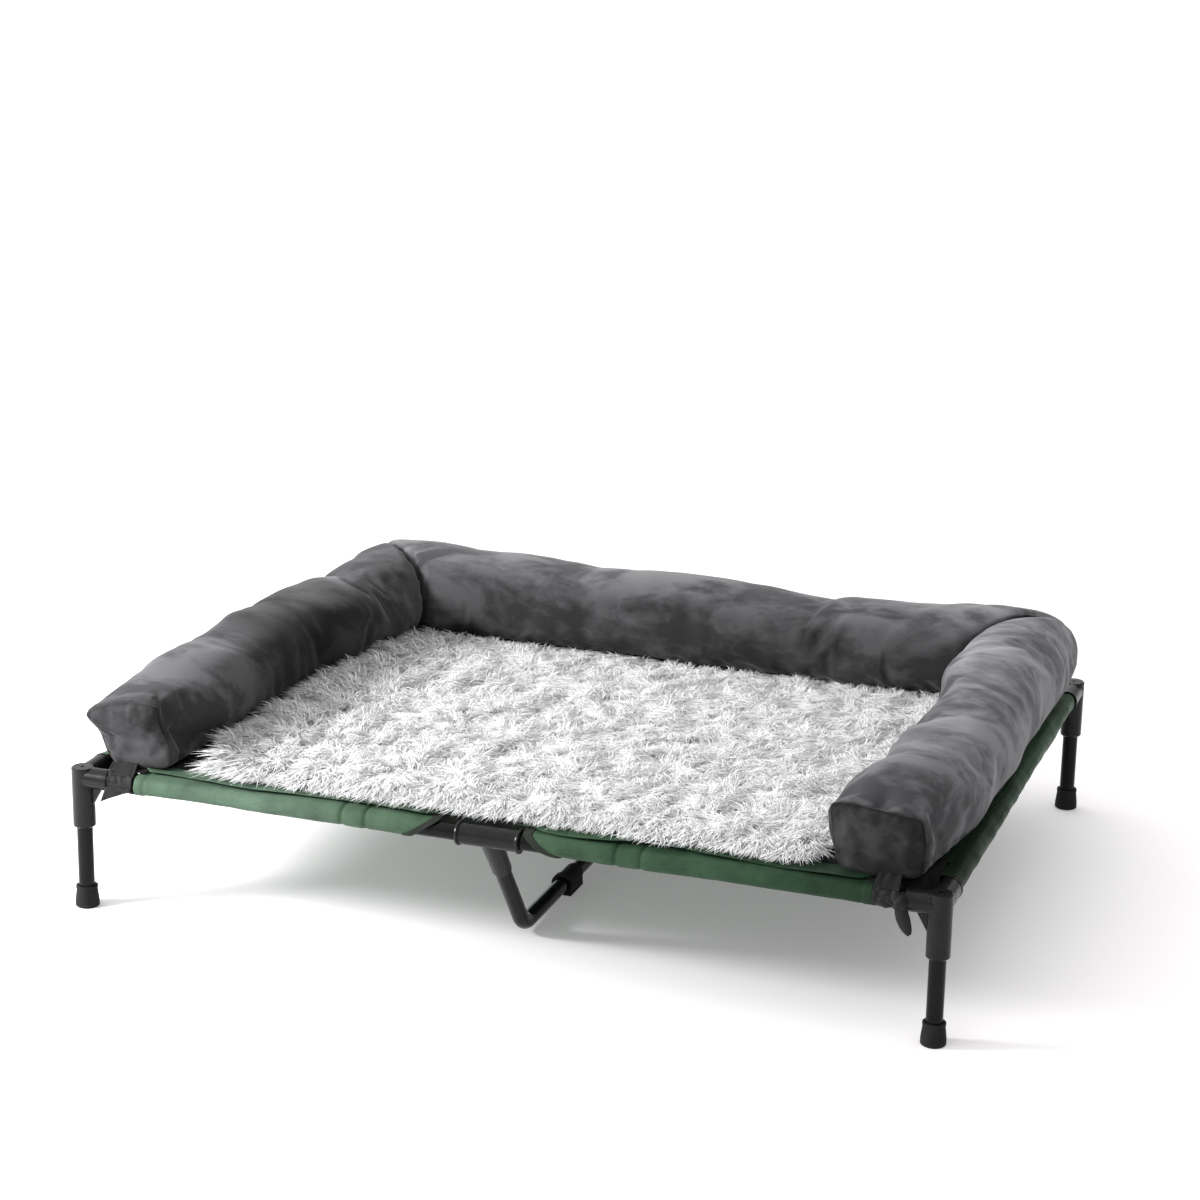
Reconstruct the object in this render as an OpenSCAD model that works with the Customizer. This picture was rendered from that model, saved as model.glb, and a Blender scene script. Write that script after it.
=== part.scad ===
// Raised pet cot: a knock-down tube frame with a bent centre support, a sewn sling whose hems
// are threaded on the rails, and a tie-on topper with a plush mat and a three-sided bolster.
// The origin is on the floor at the centre of the four legs, +X along the long rails, +Z up.

/* [Frame] */
// Distance between the left and right leg axes
leg_span_x = 1192; // [1000:2:1300]
// Distance between the front and back leg axes
leg_span_y = 892; // [780:2:960]
// Height of the flat tops of the corner connectors
frame_h = 203; // [185:1:240]
// Outside diameter of every frame tube
tube_d = 22; // [19:0.5:24]
// Wall of every frame tube
tube_wall = 1.2; // [0.8:0.1:2]

/* [Corner connectors] */
// Outside diameter of the upright leg socket
socket_d = 31; // [30:0.5:35]
// Length of the upright leg socket
socket_len = 85.5; // [70:0.5:95]
// Thickness of the flat cap over the leg
cap_t = 4; // [3:0.5:6]
// Outside diameter of the two rail arms
arm_d = 29.5; // [28:0.5:30]
// Reach of the long-rail arm from the leg axis
long_arm_reach = 42; // [36:1:50]
// Reach of the side-rail arm from the leg axis
side_arm_reach = 56; // [40:1:64]
// Depth of the rail axis below the connector top
rail_drop = 15; // [15:0.5:18]
// Distance from the leg axis at which a rail meets its stop
rail_stop = 14; // [13.5:0.5:18]
// Width of the raised lip at the mouth of an arm
arm_lip_w = 3; // [2:0.5:5]
// Height of the raised lip over the arm
arm_lip_h = 0.8; // [0.5:0.1:1.2]
// Run of the gusset web along the arm
gusset_run = 14; // [8:1:18]
// Drop of the gusset web below the arm
gusset_drop = 27; // [15:1:34]
// Thickness of the gusset web
gusset_t = 5; // [3:0.5:8]
// Diameter of the blind hole in the cap
cap_hole_d = 5; // [3:0.5:7]
// Depth of the blind hole in the cap
cap_hole_depth = 2.5; // [1:0.5:2.5]
// Bevel at the rims of the connectors
rim_bevel = 1.5; // [0.5:0.25:2]

/* [Rubber feet] */
// Diameter of the foot on the floor
foot_base_d = 33; // [31:0.5:40]
// Diameter of the foot at its neck
foot_neck_d = 28.5; // [27.5:0.5:30]
// Diameter of the rolled rim at the top of the foot
foot_rim_d = 30; // [29.5:0.5:32]
// Height of the foot
foot_h = 30.5; // [24:0.5:40]
// Height of the flared base band
foot_band_h = 8; // [5:0.5:12]
// Height of the rolled rim
foot_rim_h = 4; // [2:0.5:6]
// Thickness of rubber under the leg
foot_floor_t = 3; // [2:0.5:5]

/* [Centre support] */
// Length of the rail sleeve of the tee connector
tee_len = 88; // [70:1:110]
// Outside diameter of the tee connector
tee_d = 29; // [28:0.5:31]
// Diameter of the end rims of the tee connector
tee_rim_d = 33.5; // [31.5:0.5:36]
// Width of the end rims of the tee connector
tee_rim_w = 4; // [3:0.5:6]
// Thickness of the web between the two rail halves
tee_web_t = 4; // [2:0.5:8]
// Length of the slanted branch from the rail axis
branch_len = 75; // [60:1:90]
// Diameter of the slanted branch at its tip
branch_tip_d = 26.5; // [26:0.5:28]
// Lean of the branch and the support tube from upright
branch_tilt = 36; // [30:1:42]
// Distance from the rail axis at which the support tube meets its stop
branch_stop = 19; // [17:0.5:24]
// Bend radius of the support tube at its centre line
bend_r = 40; // [34:1:60]
// Clearance of the support tube over the floor
run_clear = 5; // [3:0.5:8]
// Length of a floor glide along the tube
glide_len = 50; // [30:1:70]
// Wall of a floor glide round the tube
glide_wall = 2.2; // [2:0.1:5]
// Width of the flat sole of a floor glide
glide_sole_w = 27; // [26:1:44]
// Width of the raised rim at the outer end of a floor glide
glide_rim_w = 9; // [4:0.5:14]
// Height of the raised rim over the collar
glide_rim_h = 2.5; // [1:0.5:4]
// Distance of a floor glide from the middle
glide_offset = 145; // [80:1:200]

/* [Sling] */
// Outside diameter of the hem sleeves round the rails
sleeve_d = 27; // [26:0.5:28]
// Distance of the hem seam from the rail axis
seam_offset = 24; // [21:0.5:30]
// Thickness of the hem at its seam
seam_t = 2; // [1.5:0.1:3]
// Gap between a side arm and the side hem sleeve
side_sleeve_gap = 4; // [2:0.5:10]
// Bare rail between the tee connector and the tape on its left
tee_gap_left = 26; // [2:1:40]
// Bare rail between the tee connector and the tape on its right
tee_gap_right = 2; // [2:1:40]
// Extra width of the tee opening on each side at the bottom of the hem
tee_gap_slant = 40; // [8:1:44]
// Width of the binding tape at the tee opening
tape_w = 13; // [8:0.5:18]
// Thickness of the binding tape
tape_t = 0.6; // [0.4:0.1:1]
// Thickness of the sling panel
panel_t = 1.5; // [1:0.1:2]
// Reach of the free lips of the panel over the long hem sleeves
lip_reach = 16; // [8:0.5:20]
// Thickness of a free lip
lip_t = 1.2; // [0.8:0.1:1.5]
// Setback of the end of a free lip from the end of its sleeve
lip_setback = 22; // [10:1:40]

/* [Topper base] */
// Thickness of the base cloth
base_t = 1.2; // [0.8:0.1:2]
// Setback of the base cloth from the long rail axes
base_setback_y = 36; // [35:1:48]
// Setback of the base cloth from the side rail axes
base_setback_x = 14; // [14:1:24]
// Corner radius of the base cloth
base_corner_r = 30; // [10:1:60]

/* [Bolster] */
// Width of a bolster roll
roll_w = 160; // [130:1:170]
// Height of a bolster roll
roll_h = 120; // [100:1:135]
// Height of the widest part of a roll over its base
roll_belly_h = 54; // [45:1:65]
// Thickness of the bolster cover
cover_t = 2.4; // [1.5:0.1:4]
// Setback of the side rolls from the side rail axis at the front
side_roll_inset = 76; // [66:1:85]
// Further setback of the side rolls at the back corners
side_roll_drift = 11; // [0:1:35]
// Skew of the topper: its back goes this far to the right and its front to the left
topper_lean = 10; // [-12:1:12]
// Setback of the back roll from the back rail axis
back_roll_inset = 101; // [90:1:120]
// Setback of the front ends from the front rail axis
roll_front_inset = 21; // [18:1:40]
// Narrowing of each side at a front end
end_draw_side = 17; // [5:1:25]
// Lowering of the top at a front end
end_draw_top = 27; // [10:1:36]
// Length over which a front end swells to the full roll
end_draw_reach = 78; // [50:1:140]
// Swell of the sewn end panel
end_puff = 7; // [2:0.5:12]
// Narrowing of the outer side at a mitred back corner
corner_draw = 22; // [5:1:30]
// Length over which the corner narrowing fades
corner_reach = 170; // [90:1:240]
// Dip of the back roll between its corners
back_dip = 11; // [0:1:18]

/* [Plush mat] */
// Height of the mat at its edge
mat_edge_h = 12; // [8:0.5:18]
// Further height of the mat at its crown
mat_crown_h = 16; // [8:0.5:22]
// Height of the pile clumps
mat_clump_h = 6; // [0:0.25:8]
// Setback of the mat from the front edge of the base cloth
mat_front_inset = 3; // [0:1:20]

/* [Tie straps] */
// Width of a tie strap
strap_w = 32; // [20:1:40]
// Thickness of a tie strap
strap_t = 1.2; // [0.8:0.1:1.2]
// Bare rail on each side of a tie strap
strap_side_gap = 5; // [2:0.5:10]
// Width of a strap tail
tail_w = 17; // [10:0.5:22]
// Length of a strap tail below the rail axis
tail_len = 46; // [34:1:60]
// Length of the point of a strap tail
tail_point = 16; // [8:1:22]

/* [Fits] */
// Radial clearance of a tube in its socket
tube_fit = 0.2; // [0.1:0.05:0.4]
// End clearance of a tube at its stop
end_fit = 0.2; // [0.1:0.05:0.4]
// Clearance between sewn pieces that rest on each other
soft_gap = 0.3; // [0.2:0.05:0.5]

/* [Hidden] */
$fn = 64;

FRAME_BLACK = "#2b2c2e";
RUBBER_BLACK = "#1d1d1f";
SLING_GREEN = "#5f8266";
TAPE_OLIVE = "#4c5247";
BOLSTER_GREY = "#4b4b4e";
FILLING_WHITE = "#f1efe9";
PLUSH_GREY = "#dcdcde";
STRAP_BLACK = "#242427";

// How far flat cloth or a flat flank dips inside the round that it leaves
pinch = 0.93;

// Frame lines
half_x = leg_span_x / 2;
half_y = leg_span_y / 2;
rail_z = frame_h - rail_drop;
tube_r = tube_d / 2;
bore_r = tube_r + tube_fit;
leg_top_z = frame_h - cap_t;
rail_end = rail_stop + end_fit;

// Centre support lines: slope from the rail axis to the floor run, with one bend at each end
run_z = run_clear + tube_r;
slope_len = (rail_z - run_z) / cos(branch_tilt);
bend_angle = 90 - branch_tilt;
bend_tangent = bend_r * tan(bend_angle / 2);
run_half = half_y - slope_len * sin(branch_tilt) - bend_tangent;
bend_swell = 0.05;
bend_lap = 1;

// Sling lines
sleeve_r = sleeve_d / 2;
panel_top_z = rail_z + sleeve_r;
long_sleeve_start = long_arm_reach + strap_w + 2 * strap_side_gap;
side_sleeve_start = side_arm_reach + side_sleeve_gap;
panel_half_x = half_x - seam_offset - soft_gap;
panel_half_y = half_y - seam_offset - soft_gap;
panel_corner_x = half_x - long_sleeve_start;
panel_corner_y = half_y - side_sleeve_start;
tape_clear = 3;
tape_fold = base_setback_y - seam_offset - tape_clear;
lip_clear = 2;

// Distance of the tape from the middle of the cot at the top of the hem
function tee_gap(side_x) = tee_len / 2 + (side_x < 0 ? tee_gap_left : tee_gap_right);

// Topper lines
base_z = panel_top_z + soft_gap;
topper_z = base_z + base_t + soft_gap;
base_half_x = half_x - base_setback_x;
base_half_y = half_y - base_setback_y;
side_roll_x = half_x - side_roll_inset;
corner_x = side_roll_x - side_roll_drift;
corner_y = half_y - back_roll_inset;
roll_front_y = -half_y + roll_front_inset;
roll_belly_z = topper_z + roll_belly_h;
mitre_gap = soft_gap;
mat_front_y = -base_half_y + mat_front_inset;
mat_back_y = corner_y - roll_w / 2 - soft_gap;

// Resolution and roundness of the stuffed forms
roll_rings = 18;
roll_sides = 20;
roll_side_power = 0.82;
roll_top_power = 0.86;
roll_base_power = 0.55;
mat_cells_x = 36;
mat_cells_y = 28;
mat_clump_pitch = 76;

// Shared shapes

module at_corner(side_x, side_y) {
    mirror([side_x < 0 ? 1 : 0, 0, 0])
        mirror([0, side_y > 0 ? 1 : 0, 0])
            translate([half_x, -half_y, 0])
                children();
}

module at_quarter(side_x, side_y) {
    mirror([side_x < 0 ? 1 : 0, 0, 0])
        mirror([0, side_y > 0 ? 1 : 0, 0])
            children();
}

module tube(length) {
    difference() {
        cylinder(r = tube_r, h = length);
        translate([0, 0, -1])
            cylinder(r = tube_r - tube_wall, h = length + 2);
    }
}

// Turns a shape drawn along +Z so that it runs along +X, with its own +X pointing to +Y
module along_x() {
    rotate([90, 0, 90])
        children();
}

// Turns a shape drawn along +Z so that it runs along +Y, with its own +X pointing to -X
module along_y() {
    rotate([90, 0, 180])
        children();
}

function lower_tangent(r, tip) =
    let (reach = norm(tip), lean = atan2(tip[1], tip[0]), half = acos(r / reach))
    r * [cos(lean - half), sin(lean - half)];

// Cloth wrapped round a rail and pinched to a seam at its inner side
module pocket(r, tip_x, tip_t, length) {
    cylinder(r = r, h = length);
    linear_extrude(length)
        polygon([
            [0, 0], [0, pinch * r], [tip_x, r], [tip_x, r - tip_t],
            pinch * lower_tangent(r, [tip_x, r - tip_t])
        ]);
}

module hem(extra, length) {
    difference() {
        pocket(sleeve_r + extra, seam_offset, seam_t, length);
        translate([0, 0, -1])
            pocket(bore_r + soft_gap, seam_offset - 2 * seam_t, seam_t / 2, length + 2);
    }
}

// Frame

module corner_shell() {
    bottom = frame_h - socket_len;
    r = socket_d / 2;
    rotate_extrude()
        polygon([
            [0, bottom], [r - rim_bevel, bottom], [r, bottom + rim_bevel],
            [r, frame_h - rim_bevel], [r - rim_bevel, frame_h], [0, frame_h]
        ]);
}

module corner_arm(reach) {
    rotate([0, 90, 0])
        cylinder(d = arm_d, h = reach);
    translate([reach - arm_lip_w, 0, 0])
        rotate([0, 90, 0])
            cylinder(d = arm_d + 2 * arm_lip_h, h = arm_lip_w);
    web_in = socket_d / 2 - rim_bevel;
    web_out = socket_d / 2 + gusset_run;
    web_top = rim_bevel - arm_d / 2;
    rotate([90, 0, 0])
        translate([0, 0, -gusset_t / 2])
            linear_extrude(gusset_t)
                polygon([[web_in, web_top], [web_out, web_top], [web_in, web_top - gusset_drop]]);
}

module arm_bore(reach) {
    translate([rail_stop, 0, 0])
        rotate([0, 90, 0])
            cylinder(r = bore_r, h = reach);
}

// Drawn for the front right corner: the long arm points to -X and the side arm to +Y
module corner_connector(side_x, side_y) {
    color(FRAME_BLACK)
        at_corner(side_x, side_y)
            difference() {
                union() {
                    corner_shell();
                    translate([0, 0, rail_z]) {
                        rotate([0, 0, 180])
                            corner_arm(long_arm_reach);
                        rotate([0, 0, 90])
                            corner_arm(side_arm_reach);
                    }
                }
                translate([0, 0, frame_h - socket_len - 1])
                    cylinder(r = bore_r, h = socket_len + 1 - cap_t);
                translate([0, 0, rail_z]) {
                    rotate([0, 0, 180])
                        arm_bore(long_arm_reach);
                    rotate([0, 0, 90])
                        arm_bore(side_arm_reach);
                }
                translate([0, 0, frame_h - cap_hole_depth])
                    cylinder(d = cap_hole_d, h = cap_hole_depth + 1);
            }
}

module leg_tube(side_x, side_y) {
    color(FRAME_BLACK)
        at_corner(side_x, side_y)
            translate([0, 0, foot_floor_t + end_fit])
                tube(leg_top_z - foot_floor_t - 2 * end_fit);
}

module rubber_foot(side_x, side_y) {
    base_r = foot_base_d / 2;
    neck_r = foot_neck_d / 2;
    rim_r = foot_rim_d / 2;
    rim_z = foot_h - foot_rim_h;
    color(RUBBER_BLACK)
        at_corner(side_x, side_y)
            rotate_extrude()
                polygon([
                    [0, 0], [base_r - rim_bevel, 0], [base_r, rim_bevel], [base_r, foot_band_h],
                    [neck_r, rim_z], [rim_r, rim_z], [rim_r, foot_h - rim_bevel / 2],
                    [rim_r - rim_bevel / 2, foot_h], [bore_r, foot_h], [bore_r, foot_floor_t],
                    [0, foot_floor_t]
                ]);
}

// One half of a long rail, from its corner stop to the web of the tee connector
module long_rail(side_x, side_y) {
    inner_end = tee_web_t / 2 + end_fit;
    color(FRAME_BLACK)
        at_quarter(side_x, side_y)
            translate([inner_end, -half_y, rail_z])
                along_x()
                    tube(half_x - rail_end - inner_end);
}

module side_rail(side_x) {
    length = leg_span_y - 2 * rail_end;
    color(FRAME_BLACK)
        translate([side_x * half_x, -length / 2, rail_z])
            along_y()
                tube(length);
}

module tee_rim() {
    cylinder(d1 = tee_rim_d - rim_bevel, d2 = tee_rim_d, h = tee_rim_w / 2);
    translate([0, 0, tee_rim_w / 2])
        cylinder(d1 = tee_rim_d, d2 = tee_rim_d - rim_bevel, h = tee_rim_w / 2);
}

// The sleeve carries both rail halves and the branch leans inwards to the support tube
module tee_connector(side_y) {
    blind_len = (tee_len - tee_web_t) / 2;
    color(FRAME_BLACK)
        at_quarter(1, side_y)
            translate([0, -half_y, rail_z])
                difference() {
                    union() {
                        translate([-tee_len / 2, 0, 0])
                            rotate([0, 90, 0]) {
                                cylinder(d = tee_d, h = tee_len);
                                tee_rim();
                                translate([0, 0, tee_len - tee_rim_w])
                                    tee_rim();
                            }
                        rotate([180 + branch_tilt, 0, 0])
                            cylinder(d1 = tee_d, d2 = branch_tip_d, h = branch_len);
                    }
                    for (turn = [0, 180])
                        rotate([0, 0, turn])
                            translate([tee_web_t / 2, 0, 0])
                                rotate([0, 90, 0])
                                    cylinder(r = bore_r, h = blind_len + 1);
                    rotate([180 + branch_tilt, 0, 0])
                        translate([0, 0, branch_stop])
                            cylinder(r = bore_r, h = branch_len);
                }
}

// Solid of the support tube's path; the bends are a little fuller than the straight runs
module support_path(r, bent_r, open_end) {
    start = branch_stop + end_fit - open_end;
    for (side = [0, 1])
        mirror([0, side, 0]) {
            translate([0, -half_y, rail_z])
                rotate([180 + branch_tilt, 0, 0])
                    translate([0, 0, start])
                        cylinder(r = r, h = slope_len - bend_tangent + bend_lap - start);
            translate([0, -run_half, run_z + bend_r])
                rotate([0, 90, 180])
                    rotate_extrude(angle = bend_angle)
                        translate([bend_r, 0])
                            circle(r = bent_r);
        }
    translate([0, -run_half - bend_lap, run_z])
        along_y()
            cylinder(r = r, h = 2 * (run_half + bend_lap));
}

module centre_support_bar() {
    inner_r = tube_r - tube_wall;
    color(FRAME_BLACK)
        difference() {
            support_path(tube_r, tube_r + bend_swell, 0);
            support_path(inner_r, inner_r - bend_swell, 1);
        }
}

// A clip collar round the floor run, rimmed at its outer end, with a flat sole on the floor
module floor_glide(side_y) {
    collar_r = bore_r + glide_wall;
    rim_r = min(collar_r + glide_rim_h, run_z - tube_fit);
    shoulder = pinch * collar_r;
    color(RUBBER_BLACK)
        at_quarter(1, side_y)
            translate([0, -glide_offset - glide_len / 2, run_z])
                along_y()
                    difference() {
                        union() {
                            cylinder(r = collar_r, h = glide_len);
                            cylinder(r = rim_r, h = glide_rim_w);
                            linear_extrude(glide_len)
                                polygon([
                                    [-shoulder, 0], [shoulder, 0],
                                    [glide_sole_w / 2, rim_bevel - run_z], [glide_sole_w / 2, -run_z],
                                    [-glide_sole_w / 2, -run_z], [-glide_sole_w / 2, rim_bevel - run_z]
                                ]);
                        }
                        translate([0, 0, -1])
                            cylinder(r = bore_r, h = glide_len + 2);
                    }
}

// Sling

// Slab across a hem whose two end faces slant like the ends of the tee opening
module slanted_slab(from, width) {
    top = sleeve_r + tape_t;
    lean = 2 * top * tee_gap_slant / sleeve_d;
    rotate([90, 0, 0])
        translate([0, 0, -2 * seam_offset])
            linear_extrude(4 * seam_offset)
                polygon([
                    [from, top], [from + width, top],
                    [from + width + lean, -top], [from + lean, -top]
                ]);
}

module long_sleeve(side_x, side_y) {
    color(SLING_GREEN)
        at_quarter(side_x, side_y)
            translate([0, -half_y, rail_z])
                intersection() {
                    along_x()
                        hem(0, panel_corner_x);
                    slanted_slab(tee_gap(side_x) + tape_w, panel_corner_x);
                }
}

module side_sleeve(side_x) {
    color(SLING_GREEN)
        mirror([side_x < 0 ? 1 : 0, 0, 0])
            translate([half_x, -panel_corner_y, rail_z])
                along_y()
                    hem(0, 2 * panel_corner_y);
}

// A free lip that stands on the panel beside its seam and lies over the hem sleeve
module panel_lip(side_x, side_y) {
    from = tee_gap(side_x) + tape_w + lip_clear;
    low = sleeve_r + soft_gap;
    root = seam_offset + 2 * soft_gap;
    at_quarter(side_x, side_y)
        translate([from, -half_y, rail_z])
            along_x()
                linear_extrude(panel_corner_x - lip_setback - from)
                    polygon([
                        [seam_offset + tape_fold, sleeve_r - panel_t / 2],
                        [seam_offset + tape_fold, low + lip_t],
                        [seam_offset - lip_reach, low + lip_t], [seam_offset - lip_reach, low],
                        [root, low], [root, sleeve_r - panel_t / 2]
                    ]);
}

module sling_panel() {
    color(SLING_GREEN)
        union() {
            translate([0, 0, panel_top_z - panel_t])
                linear_extrude(panel_t)
                    polygon([
                        [-panel_corner_x, -panel_half_y], [panel_corner_x, -panel_half_y],
                        [panel_half_x, -panel_corner_y], [panel_half_x, panel_corner_y],
                        [panel_corner_x, panel_half_y], [-panel_corner_x, panel_half_y],
                        [-panel_half_x, panel_corner_y], [-panel_half_x, -panel_corner_y]
                    ]);
            for (side_x = [-1, 1], side_y = [-1, 1])
                panel_lip(side_x, side_y);
        }
}

// Tape bound over both slanted hem ends and along the panel edge behind the tee connector
module binding_tape(side_y) {
    fold_low = sleeve_r - panel_t - tape_t - tube_fit;
    fold_high = sleeve_r + tape_t + tube_fit;
    color(TAPE_OLIVE)
        at_quarter(1, side_y)
            translate([0, -half_y, rail_z]) {
                for (side_x = [-1, 1])
                    mirror([side_x < 0 ? 1 : 0, 0, 0])
                        intersection() {
                            along_x()
                                hem(tape_t, panel_corner_x);
                            slanted_slab(tee_gap(side_x), tape_w);
                        }
                translate([-tee_gap(-1), 0, 0])
                    along_x()
                        linear_extrude(tee_gap(-1) + tee_gap(1))
                            difference() {
                                translate([seam_offset - tape_t, fold_low])
                                    square([tape_fold, fold_high - fold_low]);
                                translate([seam_offset, sleeve_r - panel_t - tube_fit])
                                    square([tape_fold, panel_t + 2 * tube_fit]);
                            }
            }
}

// Topper

module topper_base() {
    straight_x = base_half_x - base_corner_r;
    straight_y = base_half_y - base_corner_r;
    color(BOLSTER_GREY)
        translate([0, 0, base_z])
            linear_extrude(base_t)
                union() {
                    square([2 * base_half_x, 2 * straight_y], center = true);
                    square([2 * straight_x, 2 * base_half_y], center = true);
                    for (x = [-straight_x, straight_x], y = [-straight_y, straight_y])
                        translate([x, y])
                            circle(r = base_corner_r);
                }
}

// Sideways skew of the topper at a depth y
function lean(y) = topper_lean * (2 * (y - roll_front_y) / (corner_y - roll_front_y) - 1);

function signed_power(v, power) = sign(v) * pow(abs(v), power);

// Share of an end effect that is left at a distance from that end
function fade(distance, reach) = distance >= reach ? 0 : pow(1 - distance / reach, 2);

// Places along a roll, closer together at both ends
function along(i) = (1 - cos(180 * i / (roll_rings - 1))) / 2;

// Section of a roll, as [sideways, height] with the outer side at positive values
function roll_section(angle, outer, inner, top, inset) =
    let (c = cos(angle), s = sin(angle))
    [
        signed_power(c, roll_side_power) * ((c > 0 ? outer : inner) - inset),
        roll_belly_z + signed_power(s, s > 0 ? roll_top_power : roll_base_power)
            * ((s > 0 ? top : roll_belly_h) - inset)
    ];

function ring_angles() = [for (j = [0 : roll_sides - 1]) 360 * j / roll_sides];

// One ring of a side roll, drawn on the right, square in front and turned to the mitre at the back
function side_ring(i, inset, side_x) =
    let (
        t = along(i),
        length = corner_y - roll_front_y,
        end = fade(t * length, end_draw_reach),
        corner = fade((1 - t) * length, corner_reach),
        outer = roll_w / 2 - end * end_draw_side - corner * corner_draw,
        inner = roll_w / 2 - end * end_draw_side,
        top = roll_h - roll_belly_h - end * end_draw_top,
        front = roll_front_y + inset
    )
    [
        for (angle = ring_angles())
            let (
                p = roll_section(angle, outer, inner, top, inset),
                back = corner_y + p[0] - mitre_gap - inset * sqrt(2),
                y = front + t * (back - front)
            )
            [side_roll_x - t * side_roll_drift + p[0] + side_x * lean(y), y, p[1]]
    ];

// One ring of the back roll, from the right mitre to the left mitre
function back_ring(i, inset) =
    let (
        t = along(i),
        from_corner = min(t, 1 - t) * 2 * corner_x,
        corner = fade(from_corner, corner_reach),
        outer = roll_w / 2 - corner * corner_draw,
        top = roll_h - roll_belly_h - back_dip * (1 - fade(from_corner, corner_x))
    )
    [
        for (angle = ring_angles())
            let (
                p = roll_section(angle, outer, roll_w / 2, top, inset),
                end = corner_x + p[0] - mitre_gap - inset * sqrt(2)
            )
            [end * (1 - 2 * t) + lean(corner_y + p[0]), corner_y + p[0], p[1]]
    ];

// Closed skin over a row of rings, with a middle point on each end
module loft(rings, first_middle, last_middle) {
    count = len(rings[0]);
    last = len(rings) - 1;
    points = concat([for (ring = rings) each ring], [first_middle, last_middle]);
    faces = concat(
        [for (i = [0 : last - 1], j = [0 : count - 1])
            [i * count + j, i * count + (j + 1) % count, (i + 1) * count + (j + 1) % count]],
        [for (i = [0 : last - 1], j = [0 : count - 1])
            [i * count + j, (i + 1) * count + (j + 1) % count, (i + 1) * count + j]],
        [for (j = [0 : count - 1])
            [len(points) - 2, (j + 1) % count, j]],
        [for (j = [0 : count - 1])
            [len(points) - 1, last * count + j, last * count + (j + 1) % count]]
    );
    polyhedron(points, faces, convexity = 4);
}

module side_roll(inset, side_x) {
    rings = [for (i = [0 : roll_rings - 1]) side_ring(i, inset, side_x)];
    front = roll_front_y + inset - end_puff;
    back = corner_y - mitre_gap - inset * sqrt(2);
    mirror([side_x < 0 ? 1 : 0, 0, 0])
        loft(
            rings,
            [side_roll_x + side_x * lean(front), front, roll_belly_z - roll_belly_h / 5],
            [corner_x + side_x * lean(back), back, roll_belly_z]
        );
}

module back_roll(inset) {
    rings = [for (i = [0 : roll_rings - 1]) back_ring(i, inset)];
    end = corner_x - mitre_gap - inset * sqrt(2);
    shift = lean(corner_y);
    loft(rings, [end + shift, corner_y, roll_belly_z], [shift - end, corner_y, roll_belly_z]);
}

module bolster_side_cover(side_x) {
    color(BOLSTER_GREY)
        difference() {
            side_roll(0, side_x);
            side_roll(cover_t, side_x);
        }
}

module bolster_back_cover() {
    color(BOLSTER_GREY)
        difference() {
            back_roll(0);
            back_roll(cover_t);
        }
}

module bolster_side_filling(side_x) {
    color(FILLING_WHITE)
        side_roll(cover_t + soft_gap, side_x);
}

module bolster_back_filling() {
    color(FILLING_WHITE)
        back_roll(cover_t + soft_gap);
}

// Half width of the well between the side rolls at a depth y
function well_half(y) =
    side_roll_x - roll_w / 2 - soft_gap
        - side_roll_drift * (y - roll_front_y) / (mat_back_y + soft_gap - roll_front_y);

function mat_edge(u) = sqrt(max(0, 1 - pow(abs(u), 6)));

// Clumps of pile in staggered rows
function clump(x, y) =
    sin(360 * (x + y / 2) / mat_clump_pitch) * cos(360 * (y - x / 4) / mat_clump_pitch);

function mat_height(u, v, x, y) =
    mat_edge_h + mat_edge(u) * mat_edge(v) * (mat_crown_h + mat_clump_h * clump(x, y));

// The pile as a crowned pad with soft clumps
module plush_mat() {
    across = mat_cells_x + 1;
    rows = mat_cells_y + 1;
    grid = [
        for (j = [0 : mat_cells_y], i = [0 : mat_cells_x])
            let (
                u = 2 * i / mat_cells_x - 1,
                v = 2 * j / mat_cells_y - 1,
                y = mat_front_y + (v + 1) / 2 * (mat_back_y - mat_front_y)
            )
            [u, v, u * well_half(y) + lean(y), y]
    ];
    top = [for (g = grid) [g[2], g[3], topper_z + mat_height(g[0], g[1], g[2], g[3])]];
    shift = len(grid);
    rim = concat(
        [for (i = [0 : mat_cells_x]) i],
        [for (j = [1 : mat_cells_y]) j * across + mat_cells_x],
        [for (i = [mat_cells_x - 1 : -1 : 0]) mat_cells_y * across + i],
        [for (j = [mat_cells_y - 1 : -1 : 1]) j * across]
    );
    count = len(rim);
    bottom = [for (k = rim) [grid[k][2], grid[k][3], topper_z]];
    centre = [lean((mat_front_y + mat_back_y) / 2), (mat_front_y + mat_back_y) / 2, topper_z];
    cells = [for (j = [0 : rows - 2], i = [0 : across - 2]) j * across + i];
    faces = concat(
        [for (k = cells) [k, k + across + 1, k + 1]],
        [for (k = cells) [k, k + across, k + across + 1]],
        [for (k = [0 : count - 1]) [rim[k], rim[(k + 1) % count], shift + (k + 1) % count]],
        [for (k = [0 : count - 1]) [rim[k], shift + (k + 1) % count, shift + k]],
        [for (k = [0 : count - 1]) [shift + k, shift + (k + 1) % count, shift + count]]
    );
    color(PLUSH_GREY)
        polyhedron(concat(top, bottom, [centre]), faces, convexity = 4);
}

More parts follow.
